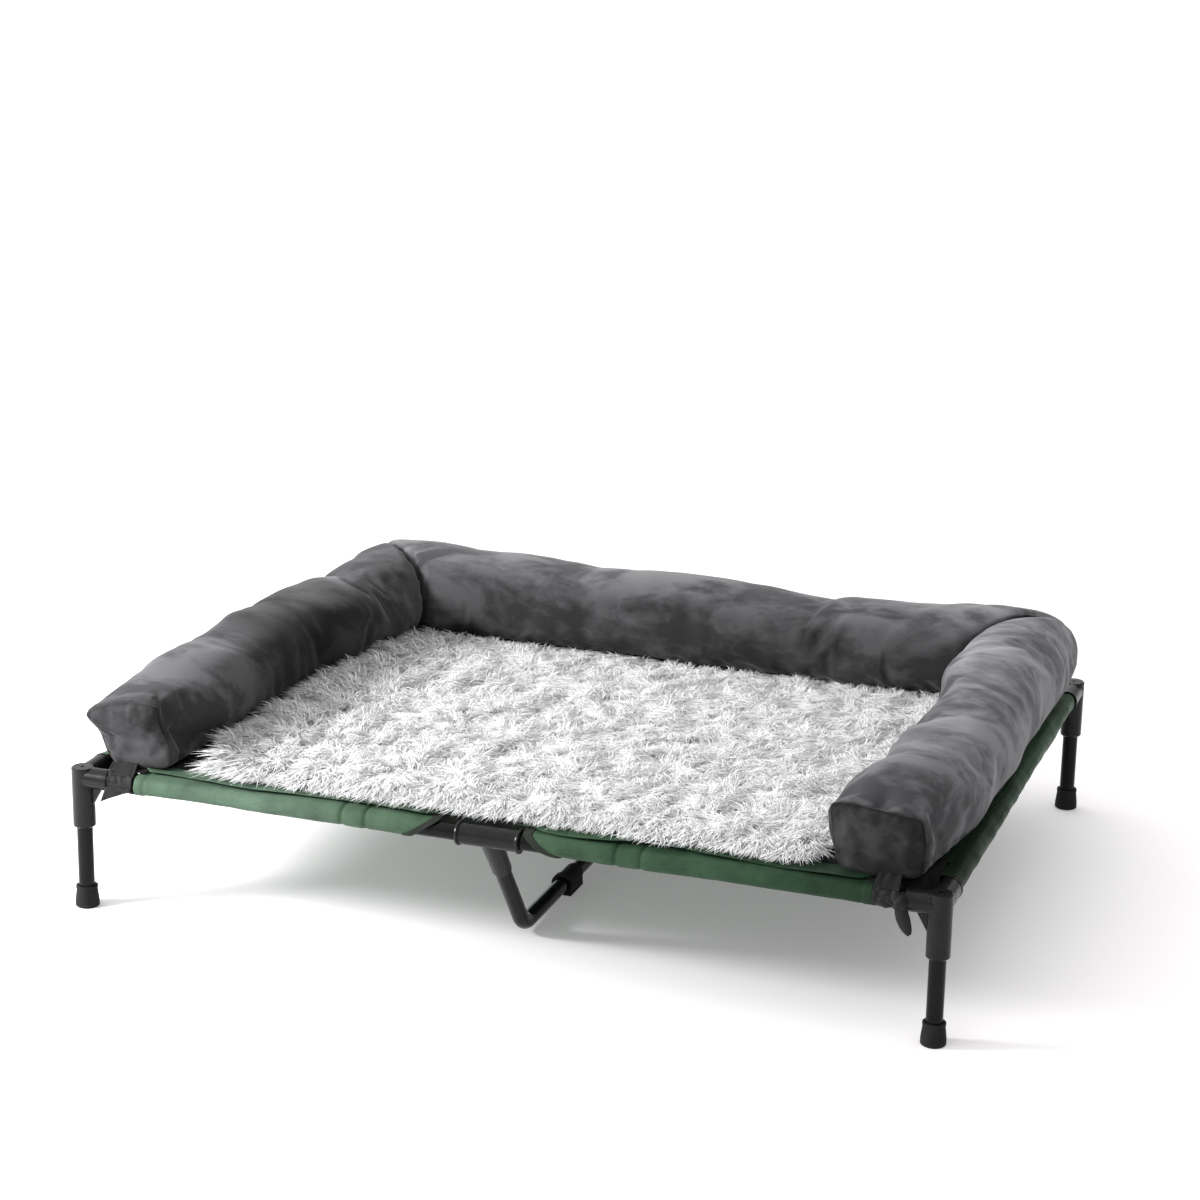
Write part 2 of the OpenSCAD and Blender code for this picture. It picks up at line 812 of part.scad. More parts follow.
// A strap sewn to the edge of the base cloth, wrapped round the long rail, with a pointed tail
module tie_strap(side_x, side_y) {
    middle = half_x - (long_arm_reach + long_sleeve_start) / 2;
    inner_r = bore_r + soft_gap;
    outer_r = inner_r + strap_t;
    tongue_low = base_z - rail_z;
    tongue_bend = outer_r;
    color(STRAP_BLACK)
        at_quarter(side_x, side_y)
            translate([middle, -half_y, rail_z]) {
                translate([-strap_w / 2, 0, 0])
                    along_x()
                        linear_extrude(strap_w)
                            difference() {
                                union() {
                                    circle(r = outer_r);
                                    polygon([
                                        [0, inner_r], [0, outer_r], [tongue_bend, tongue_low + base_t],
                                        [base_setback_y, tongue_low + base_t],
                                        [base_setback_y, tongue_low], [tongue_bend, tongue_low]
                                    ]);
                                }
                                circle(r = inner_r);
                            }
                translate([strap_w / 2 - tail_w, -inner_r, 0])
                    rotate([90, 0, 0])
                        linear_extrude(strap_t)
                            polygon([
                                [0, 0], [tail_w, 0], [tail_w, tail_point - tail_len],
                                [tail_w / 2, -tail_len], [0, tail_point - tail_len]
                            ]);
            }
}

corner_connector(-1, -1);  // corner_connector_front_left
corner_connector(1, -1);  // corner_connector_front_right
corner_connector(-1, 1);  // corner_connector_back_left
corner_connector(1, 1);  // corner_connector_back_right
leg_tube(-1, -1);  // leg_tube_front_left
leg_tube(1, -1);  // leg_tube_front_right
leg_tube(-1, 1);  // leg_tube_back_left
leg_tube(1, 1);  // leg_tube_back_right
rubber_foot(-1, -1);  // rubber_foot_front_left
rubber_foot(1, -1);  // rubber_foot_front_right
rubber_foot(-1, 1);  // rubber_foot_back_left
rubber_foot(1, 1);  // rubber_foot_back_right
long_rail(-1, -1);  // front_rail_left
long_rail(1, -1);  // front_rail_right
long_rail(-1, 1);  // back_rail_left
long_rail(1, 1);  // back_rail_right
side_rail(-1);  // side_rail_left
side_rail(1);  // side_rail_right
tee_connector(-1);  // tee_connector_front
tee_connector(1);  // tee_connector_back
centre_support_bar();
floor_glide(-1);  // floor_glide_front
floor_glide(1);  // floor_glide_back
sling_panel();
long_sleeve(-1, -1);  // hem_sleeve_front_left
long_sleeve(1, -1);  // hem_sleeve_front_right
long_sleeve(-1, 1);  // hem_sleeve_back_left
long_sleeve(1, 1);  // hem_sleeve_back_right
side_sleeve(-1);  // hem_sleeve_left
side_sleeve(1);  // hem_sleeve_right
binding_tape(-1);  // binding_tape_front
binding_tape(1);  // binding_tape_back
topper_base();
plush_mat();
bolster_side_cover(-1);  // bolster_cover_left
bolster_back_cover();  // bolster_cover_back
bolster_side_cover(1);  // bolster_cover_right
bolster_side_filling(-1);  // bolster_filling_left
bolster_back_filling();  // bolster_filling_back
bolster_side_filling(1);  // bolster_filling_right
tie_strap(-1, -1);  // tie_strap_front_left
tie_strap(1, -1);  // tie_strap_front_right
tie_strap(-1, 1);  // tie_strap_back_left
tie_strap(1, 1);  // tie_strap_back_right
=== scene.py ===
"""Soft goods, finishes, studio and camera of a raised pet cot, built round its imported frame."""

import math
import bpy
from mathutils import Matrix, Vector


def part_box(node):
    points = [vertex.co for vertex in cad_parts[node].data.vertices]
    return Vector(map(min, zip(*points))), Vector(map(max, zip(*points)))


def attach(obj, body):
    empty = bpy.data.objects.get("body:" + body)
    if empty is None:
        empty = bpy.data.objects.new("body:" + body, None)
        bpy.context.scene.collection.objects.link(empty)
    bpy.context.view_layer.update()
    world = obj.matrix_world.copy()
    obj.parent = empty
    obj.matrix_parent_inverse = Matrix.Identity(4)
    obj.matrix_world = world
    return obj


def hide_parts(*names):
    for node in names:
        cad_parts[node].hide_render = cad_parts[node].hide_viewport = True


bl_info = {
    "name": "Raised Pet Cot",
    "version": (1, 0, 0),
    "blender": (4, 5, 0),
    "location": "View3D > Sidebar > Cot",
    "description": "Dresses the frame of a raised pet cot with its sling, topper, straps and studio",
    "category": "Object",
}

import bpy
import numpy as np
from bpy.props import FloatProperty, FloatVectorProperty, IntProperty, PointerProperty
from mathutils import Matrix, Vector

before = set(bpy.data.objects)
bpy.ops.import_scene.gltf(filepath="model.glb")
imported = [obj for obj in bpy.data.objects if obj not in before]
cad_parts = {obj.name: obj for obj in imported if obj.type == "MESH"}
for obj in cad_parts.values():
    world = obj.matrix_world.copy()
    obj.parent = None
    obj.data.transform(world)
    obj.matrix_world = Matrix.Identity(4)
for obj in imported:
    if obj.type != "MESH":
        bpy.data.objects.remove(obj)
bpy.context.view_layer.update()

# Shapes are worked out in millimetres and written to the meshes in metres
MM = 0.001


def node_box(name):
    """Lowest and highest corner of a frame node, in millimetres."""
    low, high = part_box(name)
    return np.array(low) / MM, np.array(high) / MM


def node_centre(name):
    low, high = node_box(name)
    return (low + high) / 2


LEG_X = node_centre("leg_tube_front_right")[0]
LEG_Y = node_centre("leg_tube_back_right")[1]
RAIL_Z = node_centre("side_rail_right")[2]
PANEL_TOP = node_box("sling_panel")[1][2]
BASE_HIGH = node_box("topper_base")[1]
MAT_LOW, MAT_HIGH = node_box("plush_mat")
TOPPER_Z = MAT_LOW[2]
LONG_SLEEVE_END = node_box("hem_sleeve_front_right")[1][0]
SIDE_SLEEVE_END = node_box("hem_sleeve_right")[1][1]
RAIL_R = (node_box("side_rail_right")[1][2] - node_box("side_rail_right")[0][2]) / 2

SIDES = {"left": -1, "right": 1}
ENDS = {"front": -1, "back": 1}


# Settings

class CotFrameSettings(bpy.types.PropertyGroup):
    """Finishes of the tube frame"""

    tube_colour: FloatVectorProperty(
        name="Tube", description="Powder coat of the tubes", subtype="COLOR",
        default=(0.004, 0.004, 0.0043), min=0, max=1)
    moulding_colour: FloatVectorProperty(
        name="Mouldings", description="Moulded corner and tee connectors", subtype="COLOR",
        default=(0.007, 0.007, 0.0073), min=0, max=1)
    rubber_colour: FloatVectorProperty(
        name="Rubber", description="Feet and floor glides", subtype="COLOR",
        default=(0.007, 0.007, 0.007), min=0, max=1)


class CotSlingSettings(bpy.types.PropertyGroup):
    """Sizes and colours of the sewn sling"""

    cloth_colour: FloatVectorProperty(
        name="Cloth", description="Coated cloth of the sling", subtype="COLOR",
        default=(0.042, 0.090, 0.050), min=0, max=1)
    tape_colour: FloatVectorProperty(
        name="Tape", description="Binding tape at the tee openings", subtype="COLOR",
        default=(0.010, 0.014, 0.009), min=0, max=1)
    sleeve_radius: FloatProperty(
        name="Sleeve Radius", description="Outside radius of a hem sleeve",
        default=0.0135, min=0.012, max=0.016, unit="LENGTH")
    seam_offset: FloatProperty(
        name="Seam Offset", description="Distance of the hem seam from the rail axis",
        default=0.024, min=0.020, max=0.030, unit="LENGTH")
    cloth_thickness: FloatProperty(
        name="Cloth Thickness", description="Thickness of one layer of sling cloth",
        default=0.0009, min=0.0004, max=0.002, unit="LENGTH")
    lip_reach: FloatProperty(
        name="Lip Reach", description="Width of the free lip of the panel over a hem sleeve",
        default=0.017, min=0.004, max=0.024, unit="LENGTH")


class CotTopperSettings(bpy.types.PropertyGroup):
    """Sizes and colours of the bolster and the plush mat"""

    suede_dark: FloatVectorProperty(
        name="Suede", description="Nap of the bolster brushed away from the light", subtype="COLOR",
        default=(0.036, 0.036, 0.038), min=0, max=1)
    suede_light: FloatVectorProperty(
        name="Brushed Suede", description="Nap of the bolster brushed towards the light",
        subtype="COLOR", default=(0.094, 0.094, 0.098), min=0, max=1)
    # The grey of the painted shade at the roots of the pile
    pile_root_shade: FloatVectorProperty(
        name="Pile Roots", description="Grey at the roots of the pile", subtype="COLOR",
        default=(0.22, 0.22, 0.225), min=0, max=1)
    pile_tip: FloatVectorProperty(
        name="Pile Tips", description="Pale tips of the pile", subtype="COLOR",
        default=(0.95, 0.95, 0.955), min=0, max=1)
    backing_colour: FloatVectorProperty(
        name="Backing", description="Base cloth of the topper", subtype="COLOR",
        default=(0.008, 0.008, 0.009), min=0, max=1)
    pile_length: FloatProperty(
        name="Pile Length", description="Length of a long tuft",
        default=0.042, min=0.010, max=0.070, unit="LENGTH")
    tuft_spacing: FloatProperty(
        name="Tuft Spacing", description="Distance between tufts of the pile",
        default=0.0108, min=0.008, max=0.030, unit="LENGTH")
    strands_per_tuft: IntProperty(
        name="Strands per Tuft", description="Locks of fibre in one tuft", default=22, min=4, max=30)


class CotStrapSettings(bpy.types.PropertyGroup):
    """Sizes and colour of the tie straps"""

    webbing_colour: FloatVectorProperty(
        name="Webbing", description="Black tie straps", subtype="COLOR",
        default=(0.006, 0.006, 0.0065), min=0, max=1)
    thickness: FloatProperty(
        name="Thickness", description="Thickness of a strap",
        default=0.0012, min=0.0006, max=0.003, unit="LENGTH")


class CotStageSettings(bpy.types.PropertyGroup):
    """Studio floor, light and camera"""

    floor_colour: FloatVectorProperty(
        name="Floor", description="Pale studio floor", subtype="COLOR",
        default=(0.95, 0.927, 0.945), min=0, max=1)
    floor_glow: FloatProperty(
        name="Floor Glow", description="How brightly the paper is lit from behind", default=0.196, min=0)
    lamp_power: FloatProperty(
        name="Lamp", description="Power of the lamp near the front left corner, in watts",
        default=38.0, min=0)
    surround: FloatProperty(
        name="Surround", description="Strength of the light from above and from the left",
        default=1.59, min=0)
    camera_place: FloatVectorProperty(
        name="Camera Place", description="Where the camera stands", subtype="XYZ", unit="LENGTH",
        default=(1.25448, -3.61896, 1.53290))
    camera_azimuth: FloatProperty(
        name="Camera Azimuth", description="Turn of the view about the upright",
        default=math.radians(19.266), subtype="ANGLE")
    camera_elevation: FloatProperty(
        name="Camera Elevation", description="How far the view looks down",
        default=math.radians(16.683), subtype="ANGLE")
    camera_roll: FloatProperty(
        name="Camera Roll", description="Tilt of the picture",
        default=math.radians(1.0207), subtype="ANGLE")
    lens: FloatProperty(
        name="Lens", description="Focal length over a 36 mm sensor, in millimetres", default=84.566)


def settings(name):
    return getattr(bpy.context.scene, "cot_" + name)


# Mesh helpers

def clear_selection():
    if bpy.context.object and bpy.context.object.mode != "OBJECT":
        bpy.ops.object.mode_set(mode="OBJECT")
    bpy.ops.object.select_all(action="DESELECT")


def select_only(piece):
    clear_selection()
    piece.select_set(True)
    bpy.context.view_layer.objects.active = piece


def rows(*columns):
    """Puts arrays side by side, one row for each point."""
    return np.stack(columns, axis=1)


def get_points(piece):
    flat = np.empty(3 * len(piece.data.vertices))
    piece.data.vertices.foreach_get("co", flat)
    return flat.reshape(-1, 3)


def set_points(piece, points):
    """Moves every point of a mesh; the points are in millimetres."""
    piece.data.vertices.foreach_set("co", np.asarray(points, dtype=float).ravel() * MM)
    piece.data.update()


def note(piece, **values):
    """Keeps values at the points of a mesh."""
    for name, value in values.items():
        layer = piece.data.attributes.new(name, "FLOAT", "POINT")
        layer.data.foreach_set("value", np.asarray(value, dtype=np.float32))


def new_grid(name, across, along):
    """A flat grid, with u across and v along from 0 to 1 at its points."""
    clear_selection()
    bpy.ops.mesh.primitive_grid_add(x_subdivisions=across, y_subdivisions=along, size=2)
    piece = bpy.context.object
    piece.name = piece.data.name = name
    flat = get_points(piece)
    return piece, (flat[:, 0] + 1) / 2, (flat[:, 1] + 1) / 2


def edit_all(piece):
    """Opens a piece in edit mode with all of it selected."""
    select_only(piece)
    bpy.ops.object.mode_set(mode="EDIT")
    bpy.ops.mesh.select_all(action="SELECT")


def turn_outwards(piece):
    edit_all(piece)
    bpy.ops.mesh.normals_make_consistent(inside=False)
    bpy.ops.object.mode_set(mode="OBJECT")


def close_seams(piece, distance=0.02):
    """Merges the edges and poles where a grid meets itself, and turns its faces outwards."""
    edit_all(piece)
    bpy.ops.mesh.remove_doubles(threshold=distance * MM)
    turn_outwards(piece)


def apply_modifier(piece, kind, **settings):
    select_only(piece)
    modifier = piece.modifiers.new(kind.title(), kind)
    for key, value in settings.items():
        setattr(modifier, key, value)
    bpy.ops.object.modifier_apply(modifier=modifier.name)


def smooth(piece):
    select_only(piece)
    bpy.ops.object.shade_smooth()


def join(pieces, name):
    clear_selection()
    for piece in pieces:
        piece.select_set(True)
    bpy.context.view_layer.objects.active = pieces[0]
    bpy.ops.object.join()
    joined = bpy.context.object
    joined.name = joined.data.name = name
    return joined


def hand_over(piece, material, slot, *nodes):
    """Gives a finished piece its material and its body, and hides the nodes it stands for; the slot is not
    used.
    """
    piece.data.materials.clear()
    piece.data.materials.append(material)
    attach(piece, "root")
    if nodes:
        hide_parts(*nodes)


def waves(places, length, seed, count=14):
    """Smooth seeded noise of about unit height, with the given wave length."""
    draw = np.random.default_rng(seed)
    places = np.asarray(places, dtype=float)
    heading = draw.normal(size=(count, places.shape[1]))
    heading /= np.linalg.norm(heading, axis=1, keepdims=True)
    turns = heading * (2 * np.pi / length) * draw.uniform(0.6, 1.5, (count, 1))
    phase = draw.uniform(0, 2 * np.pi, count)
    return np.sin(places @ turns.T + phase).sum(axis=1) / math.sqrt(count / 2)


def ease(x):
    x = np.clip(x, 0, 1)
    return x * x * (3 - 2 * x)


def past(x, start, run):
    """0 up to a distance from the middle on either side, easing to 1 over a run beyond it."""
    return ease((np.abs(x) - start) / run)


def bell(x, width):
    return np.exp(-0.5 * (x / width) ** 2)


def along_loop(keys, values, at, period=360.0):
    """Smooth closed curve through values at the given keys."""
    keys = np.asarray(keys, dtype=float)
    values = np.asarray(values, dtype=float)
    k = np.concatenate([keys[-2:] - period, keys, keys[:2] + period])
    v = np.concatenate([values[-2:], values, values[:2]])
    slope = np.zeros_like(v)
    slope[1:-1] = (v[2:] - v[:-2]) / (k[2:] - k[:-2])[:, None]
    at = np.mod(at, period)
    i = np.clip(np.searchsorted(k, at, side="right") - 1, 1, len(k) - 3)
    h = (k[i + 1] - k[i])[:, None]
    t = ((at - k[i])[:, None]) / h
    return ((2 * t**3 - 3 * t**2 + 1) * v[i] + (t**3 - 2 * t**2 + t) * h * slope[i]
            + (3 * t**2 - 2 * t**3) * v[i + 1] + (t**3 - t**2) * h * slope[i + 1])


# Material helpers

class Finish:
    """A principled material that is put together from a few kinds of node."""

    def __init__(self, name, roughness, **sockets):
        self.material = bpy.data.materials.new(name)
        self.material.use_nodes = True
        self.nodes = self.material.node_tree.nodes
        self.links = self.material.node_tree.links
        self.shader = self.nodes["Principled BSDF"]
        self.set(Roughness=roughness, **sockets)
        self.places = self.nodes.new("ShaderNodeTexCoord")

    def feed(self, socket, value):
        """Links a socket to another one, or sets its value."""
        if isinstance(value, bpy.types.NodeSocket):
            self.links.new(value, socket)
        elif socket.type == "RGBA":
            socket.default_value = (*value[:3], 1)
        else:
            socket.default_value = value

    def set(self, **sockets):
        for name, value in sockets.items():
            self.feed(self.shader.inputs[name.replace("_", " ")], value)

    def node(self, kind, **inputs):
        node = self.nodes.new("ShaderNode" + kind)
        for name, value in inputs.items():
            self.feed(node.inputs[name], value)
        return node

    def stretched(self, *scale):
        """Places on the object, drawn out along its axes."""
        return self.node("Mapping", Vector=self.places.outputs["Object"], Scale=scale).outputs["Vector"]

    def noise(self, scale, detail=2.0, roughness=0.5, distortion=0.0, at=None):
        node = self.node(
            "TexNoise", Vector=at or self.places.outputs["Object"], Scale=scale, Detail=detail,
            Roughness=roughness, Distortion=distortion)
        return node.outputs["Fac"]

    def bands(self, scale, axis):
        node = self.node("TexWave", Vector=self.places.outputs["Object"], Scale=scale)
        node.bands_direction = axis
        return node.outputs["Fac"]

    def attribute(self, name):
        node = self.node("Attribute")
        node.attribute_name = name
        return node.outputs["Fac"]

    def ramp(self, factor, *stops):
        node = self.node("ValToRGB", Fac=factor)
        points = node.color_ramp.elements
        while len(points) < len(stops):
            points.new(0.5)
        for point, (place, colour) in zip(points, stops):
            point.position = place
            colour = (colour,) * 3 if isinstance(colour, (int, float)) else tuple(colour[:3])
            point.color = (*colour, 1)
        return node.outputs["Color"]

    def drift(self, pattern, colour, dark, pale, stops=(0.3, 0.75)):
        """A colour that drifts between a darker and a paler shade of it."""
        return self.ramp(pattern, (stops[0], shade(colour, dark)), (stops[1], shade(colour, pale)))

    def times(self, first, second, share=1.0):
        """One colour multiplied by another."""
        node = self.node("Mix")
        node.data_type = "RGBA"
        node.blend_type = "MULTIPLY"
        for name, value in (("Factor_Float", share), ("A_Color", first), ("B_Color", second)):
            self.feed(next(s for s in node.inputs if s.identifier == name), value)
        return next(s for s in node.outputs if s.identifier == "Result_Color")

    def combine(self, operation, first, second):
        """Adds or multiplies two values."""
        node = self.node("Math")
        node.operation = operation
        for socket, value in zip(node.inputs, (first, second)):
            self.feed(socket, value)
        return node.outputs["Value"]

    def bump(self, height, strength, distance):
        """Adds a layer of relief over those already there."""
        node = self.node("Bump", Height=height, Strength=strength, Distance=distance)
        normal = self.shader.inputs["Normal"]
        if normal.links:
            self.links.new(normal.links[0].from_socket, node.inputs["Normal"])
        self.links.new(node.outputs["Normal"], normal)


def shade(colour, factor):
    return tuple(min(1.0, c * factor) for c in colour[:3])


def tube_coat(colour):
    """Semi-gloss powder coat with a faint orange peel"""
    coat = Finish("black_powder_coat", 0.2, Specular_IOR_Level=0.13)
    coat.set(Base_Color=coat.drift(coat.noise(35, 3), colour, 0.8, 1.35))
    coat.set(Roughness=coat.ramp(coat.noise(60, 4), (0.3, 0.12), (0.8, 0.20)))
    coat.bump(coat.noise(900, 1), 0.06, 0.0004)
    return coat.material


def moulded_nylon(colour):
    """Fine-grained moulded plastic, a little polished where it is handled"""
    nylon = Finish("moulded_nylon", 0.3, Specular_IOR_Level=0.2)
    nylon.set(Base_Color=nylon.drift(nylon.noise(40, 4), colour, 0.82, 1.3))
    nylon.set(Roughness=nylon.ramp(nylon.noise(90, 3), (0.3, 0.22), (0.8, 0.34)))
    nylon.bump(nylon.noise(1800, 2), 0.10, 0.0003)
    nylon.bump(nylon.noise(120, 2), 0.05, 0.0006)
    return nylon.material


def foot_rubber(colour):
    """Matt rubber with dust in its grain"""
    rubber = Finish("foot_rubber", 0.72, Specular_IOR_Level=0.2)
    rubber.set(Base_Color=rubber.drift(rubber.noise(70, 5), colour, 1.0, 2.0, (0.35, 0.8)))
    rubber.bump(rubber.noise(700, 3), 0.15, 0.0004)
    return rubber.material


# Painted sheen of the coated cloth: its deep tone where the painted light is weak, a paler and greyer one
# where it is strong
PAINTED_SHEEN_TINT = (
    (0.15, (0.77, 0.8, 0.73)), (0.4, (0.82, 0.8, 0.81)),
    (0.6, (0.96, 0.8, 0.85)), (0.8, (1.0, 0.74, 0.94)),
)
# What the painted light of the cloth is multiplied by to find its painted sheen
PAINTED_SHEEN_SCALE = 0.4


def coated_cloth(colour):
    """Plain-woven cloth with a soft coating, under painted light and a painted sheen"""
    cloth = Finish("coated_cloth", 0.5, Specular_IOR_Level=0.06)
    tone = cloth.drift(cloth.noise(22, 4, 0.6), colour, 0.76, 1.24, (0.3, 0.7))
    thread = cloth.combine("MULTIPLY", cloth.bands(420, "X"), cloth.bands(420, "Y"))
    # The attribute read here holds the painted light of the cloth: brighter to the left, darker to the
    # right
    painted_level = cloth.attribute("dye")
    # Painted sheen: the cloth turns paler and greyer where its painted light is strong
    tint = cloth.ramp(cloth.combine("MULTIPLY", painted_level, PAINTED_SHEEN_SCALE), *PAINTED_SHEEN_TINT)
    tone = cloth.times(cloth.times(tone, tint), painted_level)
    cloth.set(Base_Color=cloth.times(tone, cloth.ramp(thread, (0.0, 0.35), (0.8, 1.0)), 0.25))
    cloth.set(Roughness=cloth.ramp(cloth.noise(45, 3), (0.3, 0.40), (0.7, 0.54)))
    cloth.bump(thread, 0.12, 0.0003)
    cloth.bump(cloth.noise(48, 3, 0.55), 0.32, 0.004)
    return cloth.material


def ribbed_tape(name, colour, ribs, roughness=0.7):
    """Narrow woven tape or webbing with cross ribs"""
    tape = Finish(name, roughness, Specular_IOR_Level=0.25, Sheen_Weight=0.04)
    rib = tape.bands(ribs, "DIAGONAL")
    tone = tape.drift(tape.noise(120, 4), colour, 0.8, 1.35)
    tape.set(Base_Color=tape.times(tone, tape.ramp(rib, (0.0, 0.55), (0.7, 1.0)), 0.5))
    tape.bump(rib, 0.3, 0.0004)
    return tape.material


def brushed_suede(dark, light):
    """Suede with a short pile that shows paler patches where it was brushed, under painted light and shade
    """
    suede = Finish("brushed_suede", 0.86, Specular_IOR_Level=0.15, Sheen_Weight=0.36,
                   Sheen_Roughness=0.34, Sheen_Tint=(0.62, 0.62, 0.64))
    strokes = suede.noise(11, 4, 0.55, 0.6, at=suede.stretched(0.8, 1.3, 1.2))
    smudges = suede.noise(38, 4, 0.6, 0.5, at=suede.stretched(0.7, 1.4, 1.1))
    brushed = suede.combine(
        "ADD", suede.combine("MULTIPLY", strokes, 0.76), suede.combine("MULTIPLY", smudges, 0.24))
    # The attribute read here holds painted light and shade: pale on the tops of the rolls, darker on their
    # inner sides, ends and seams
    tone = suede.times(suede.ramp(brushed, (0.43, dark), (0.57, light)), suede.attribute("nap"))
    grain = suede.noise(650, 3, 0.7)
    suede.set(Base_Color=suede.times(tone, suede.ramp(grain, (0.25, 0.45), (0.75, 1.0)), 0.3))
    suede.bump(grain, 0.25, 0.0006)
    suede.bump(smudges, 0.18, 0.004)
    return suede.material


def pile_fibre(root, tip):
    """Fibre that pales from the painted shade at its root to its tip; each lock carries its own tone"""
    fibre = Finish("pile_fibre", 0.62, Specular_IOR_Level=0.2, Sheen_Weight=0.35, Sheen_Roughness=0.45)
    middle = tuple(0.45 * r + 0.55 * t for r, t in zip(root[:3], tip[:3]))
    fibre.set(Base_Color=fibre.ramp(
        fibre.attribute("pile_tone"), (0.0, root), (0.42, middle), (0.8, tip), (1.0, shade(tip, 1.05))))
    fibre.bump(fibre.noise(900, 2), 0.15, 0.0005)
    return fibre.material


def backing_cloth(colour):
    """Dark woven base cloth"""
    cloth = Finish("backing_cloth", 0.85, Specular_IOR_Level=0.2)
    weave = cloth.combine("MULTIPLY", cloth.bands(300, "X"), cloth.bands(300, "Y"))
    cloth.set(Base_Color=cloth.drift(cloth.noise(60, 4), colour, 0.8, 1.5))
    cloth.bump(weave, 0.25, 0.0004)
    return cloth.material


# Frame

class COT_OT_frame_finish(bpy.types.Operator):
    """Coat the tubes, connectors, feet and glides of the frame"""

    bl_idname = "cot.frame_finish"
    bl_label = "Frame Finish"

    def execute(self, context):
        look = settings("frame")
        by_slot = {
            "tube": tube_coat(look.tube_colour),
            "moulding": moulded_nylon(look.moulding_colour),
            "rubber": foot_rubber(look.rubber_colour),
        }
        kinds = {
            "corner_connector": "moulding", "tee_connector": "moulding", "leg_tube": "tube",
            "front_rail": "tube", "back_rail": "tube", "side_rail": "tube",
            "centre_support": "tube", "rubber_foot": "rubber", "floor_glide": "rubber",
        }
        for name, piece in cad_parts.items():
            for start, finish in kinds.items():
                if name.startswith(start):
                    piece.data.materials.clear()
                    piece.data.materials.append(by_slot[finish])
        return {"FINISHED"}


# Sling

def hem_curve(w, radius, seam_out, seam_up):
    """Points round a hem from its seam over the rail and back to its seam.

    The result holds their distance inwards from the rail axis, their height over it and the girth."""
    reach = math.hypot(seam_out, seam_up)
    lean = math.atan2(seam_up, seam_out)
    spread = math.acos(radius / reach)
    flat = math.sqrt(reach * reach - radius * radius)
    turn = 2 * math.pi - 2 * spread
    total = 2 * flat + radius * turn
    run = w * total
    angle = lean + spread + np.clip((run - flat) / radius, 0, turn)
    inwards, upwards = radius * np.cos(angle), radius * np.sin(angle)
    # Where the cloth has left the rail, it runs straight to the seam
    to_seam = np.clip(1 - np.minimum(run, total - run) / flat, 0, 1)
    return inwards + to_seam * (seam_out - inwards), upwards + to_seam * (seam_up - upwards), total


# The cloth of a sleeve lies this far inside the radius of the sleeve, to leave room for its folds
SLEEVE_INSET = 0.6
# Share of the girth over which the relief of a sleeve and of a tape fades towards the seam
SLEEVE_FADE = 0.12
TAPE_FADE = 0.1
# Ring seams of a long sleeve lie in pairs about this distance from the middle of the cot
RING_SEAM_X = 191.0
RING_SEAM_HALF = 17.0
RING_SEAM_DEPTH = 1.3
TAPE_WIDTH = 13.0
# Distance of the tape from the middle of the cot on each side of a tee connector, at the top of the hem
TEE_EDGE = {
    "left": -node_box("hem_sleeve_front_left")[1][0] - TAPE_WIDTH,
    "right": node_box("hem_sleeve_front_right")[0][0] - TAPE_WIDTH,
}
TEE_EDGE_SLANT = 40.0
# The hem seams lie this far under the top of the panel, and at this height over the rail axis
SEAM_DROP = 0.9
SEAM_UP = PANEL_TOP - RAIL_Z - SEAM_DROP
# Painted light on the cloth along the cot: brightest towards the left, near the lamp, and dark at the
# right
PAINTED_LIGHT_ALONG = ((-560, -350, -120, 90, 330, 560), (1.72, 2.16, 1.60, 1.24, 0.94, 0.37))


def dye(points):
    """Painted light: the cloth is paler towards its left end, and to the right towards its back."""
    x, y = points[:, 0] / MM, points[:, 1] / MM
    return np.interp(x, *PAINTED_LIGHT_ALONG) + ease(x / 500.0) * ease((y + 400.0) / 700.0)


def tee_edge(side, up, radius):
    """Distance of the slanted sleeve end from the middle of the cot at a height over the rail."""
    return TEE_EDGE[side] + TEE_EDGE_SLANT * (radius - up) / (2 * radius)


# Width of the turned end of a sleeve, and how far it stands off
TURNED_END = 13.0
TURNED_RISE = 0.8


def hem_relief(along, round_share, ends, seed):
    """How far the cloth of a sleeve stands off its rail, with long slack folds and turned ends."""
    folds = rows(along / 170.0, round_share * 6.0)
    slack = 0.42 * waves(folds, 1.3, seed) + 0.16 * waves(folds * [4.0, 0.8], 1.2, seed + 1)
    for place in ends:
        far = np.abs(along - place)
        slack = slack + TURNED_RISE * ease((TURNED_END - far) / 2.0)
        slack = slack - 0.5 * bell(far - TURNED_END - 0.5, 1.2)
    return slack


def stand_off(inwards, upwards, relief, w, fade):
    """Moves the points of a hem off its rail by a relief that fades towards the seam."""
    share = 1 + relief * ease(w / fade) * ease((1 - w) / fade) / np.hypot(inwards, upwards)
    return inwards * share, upwards * share


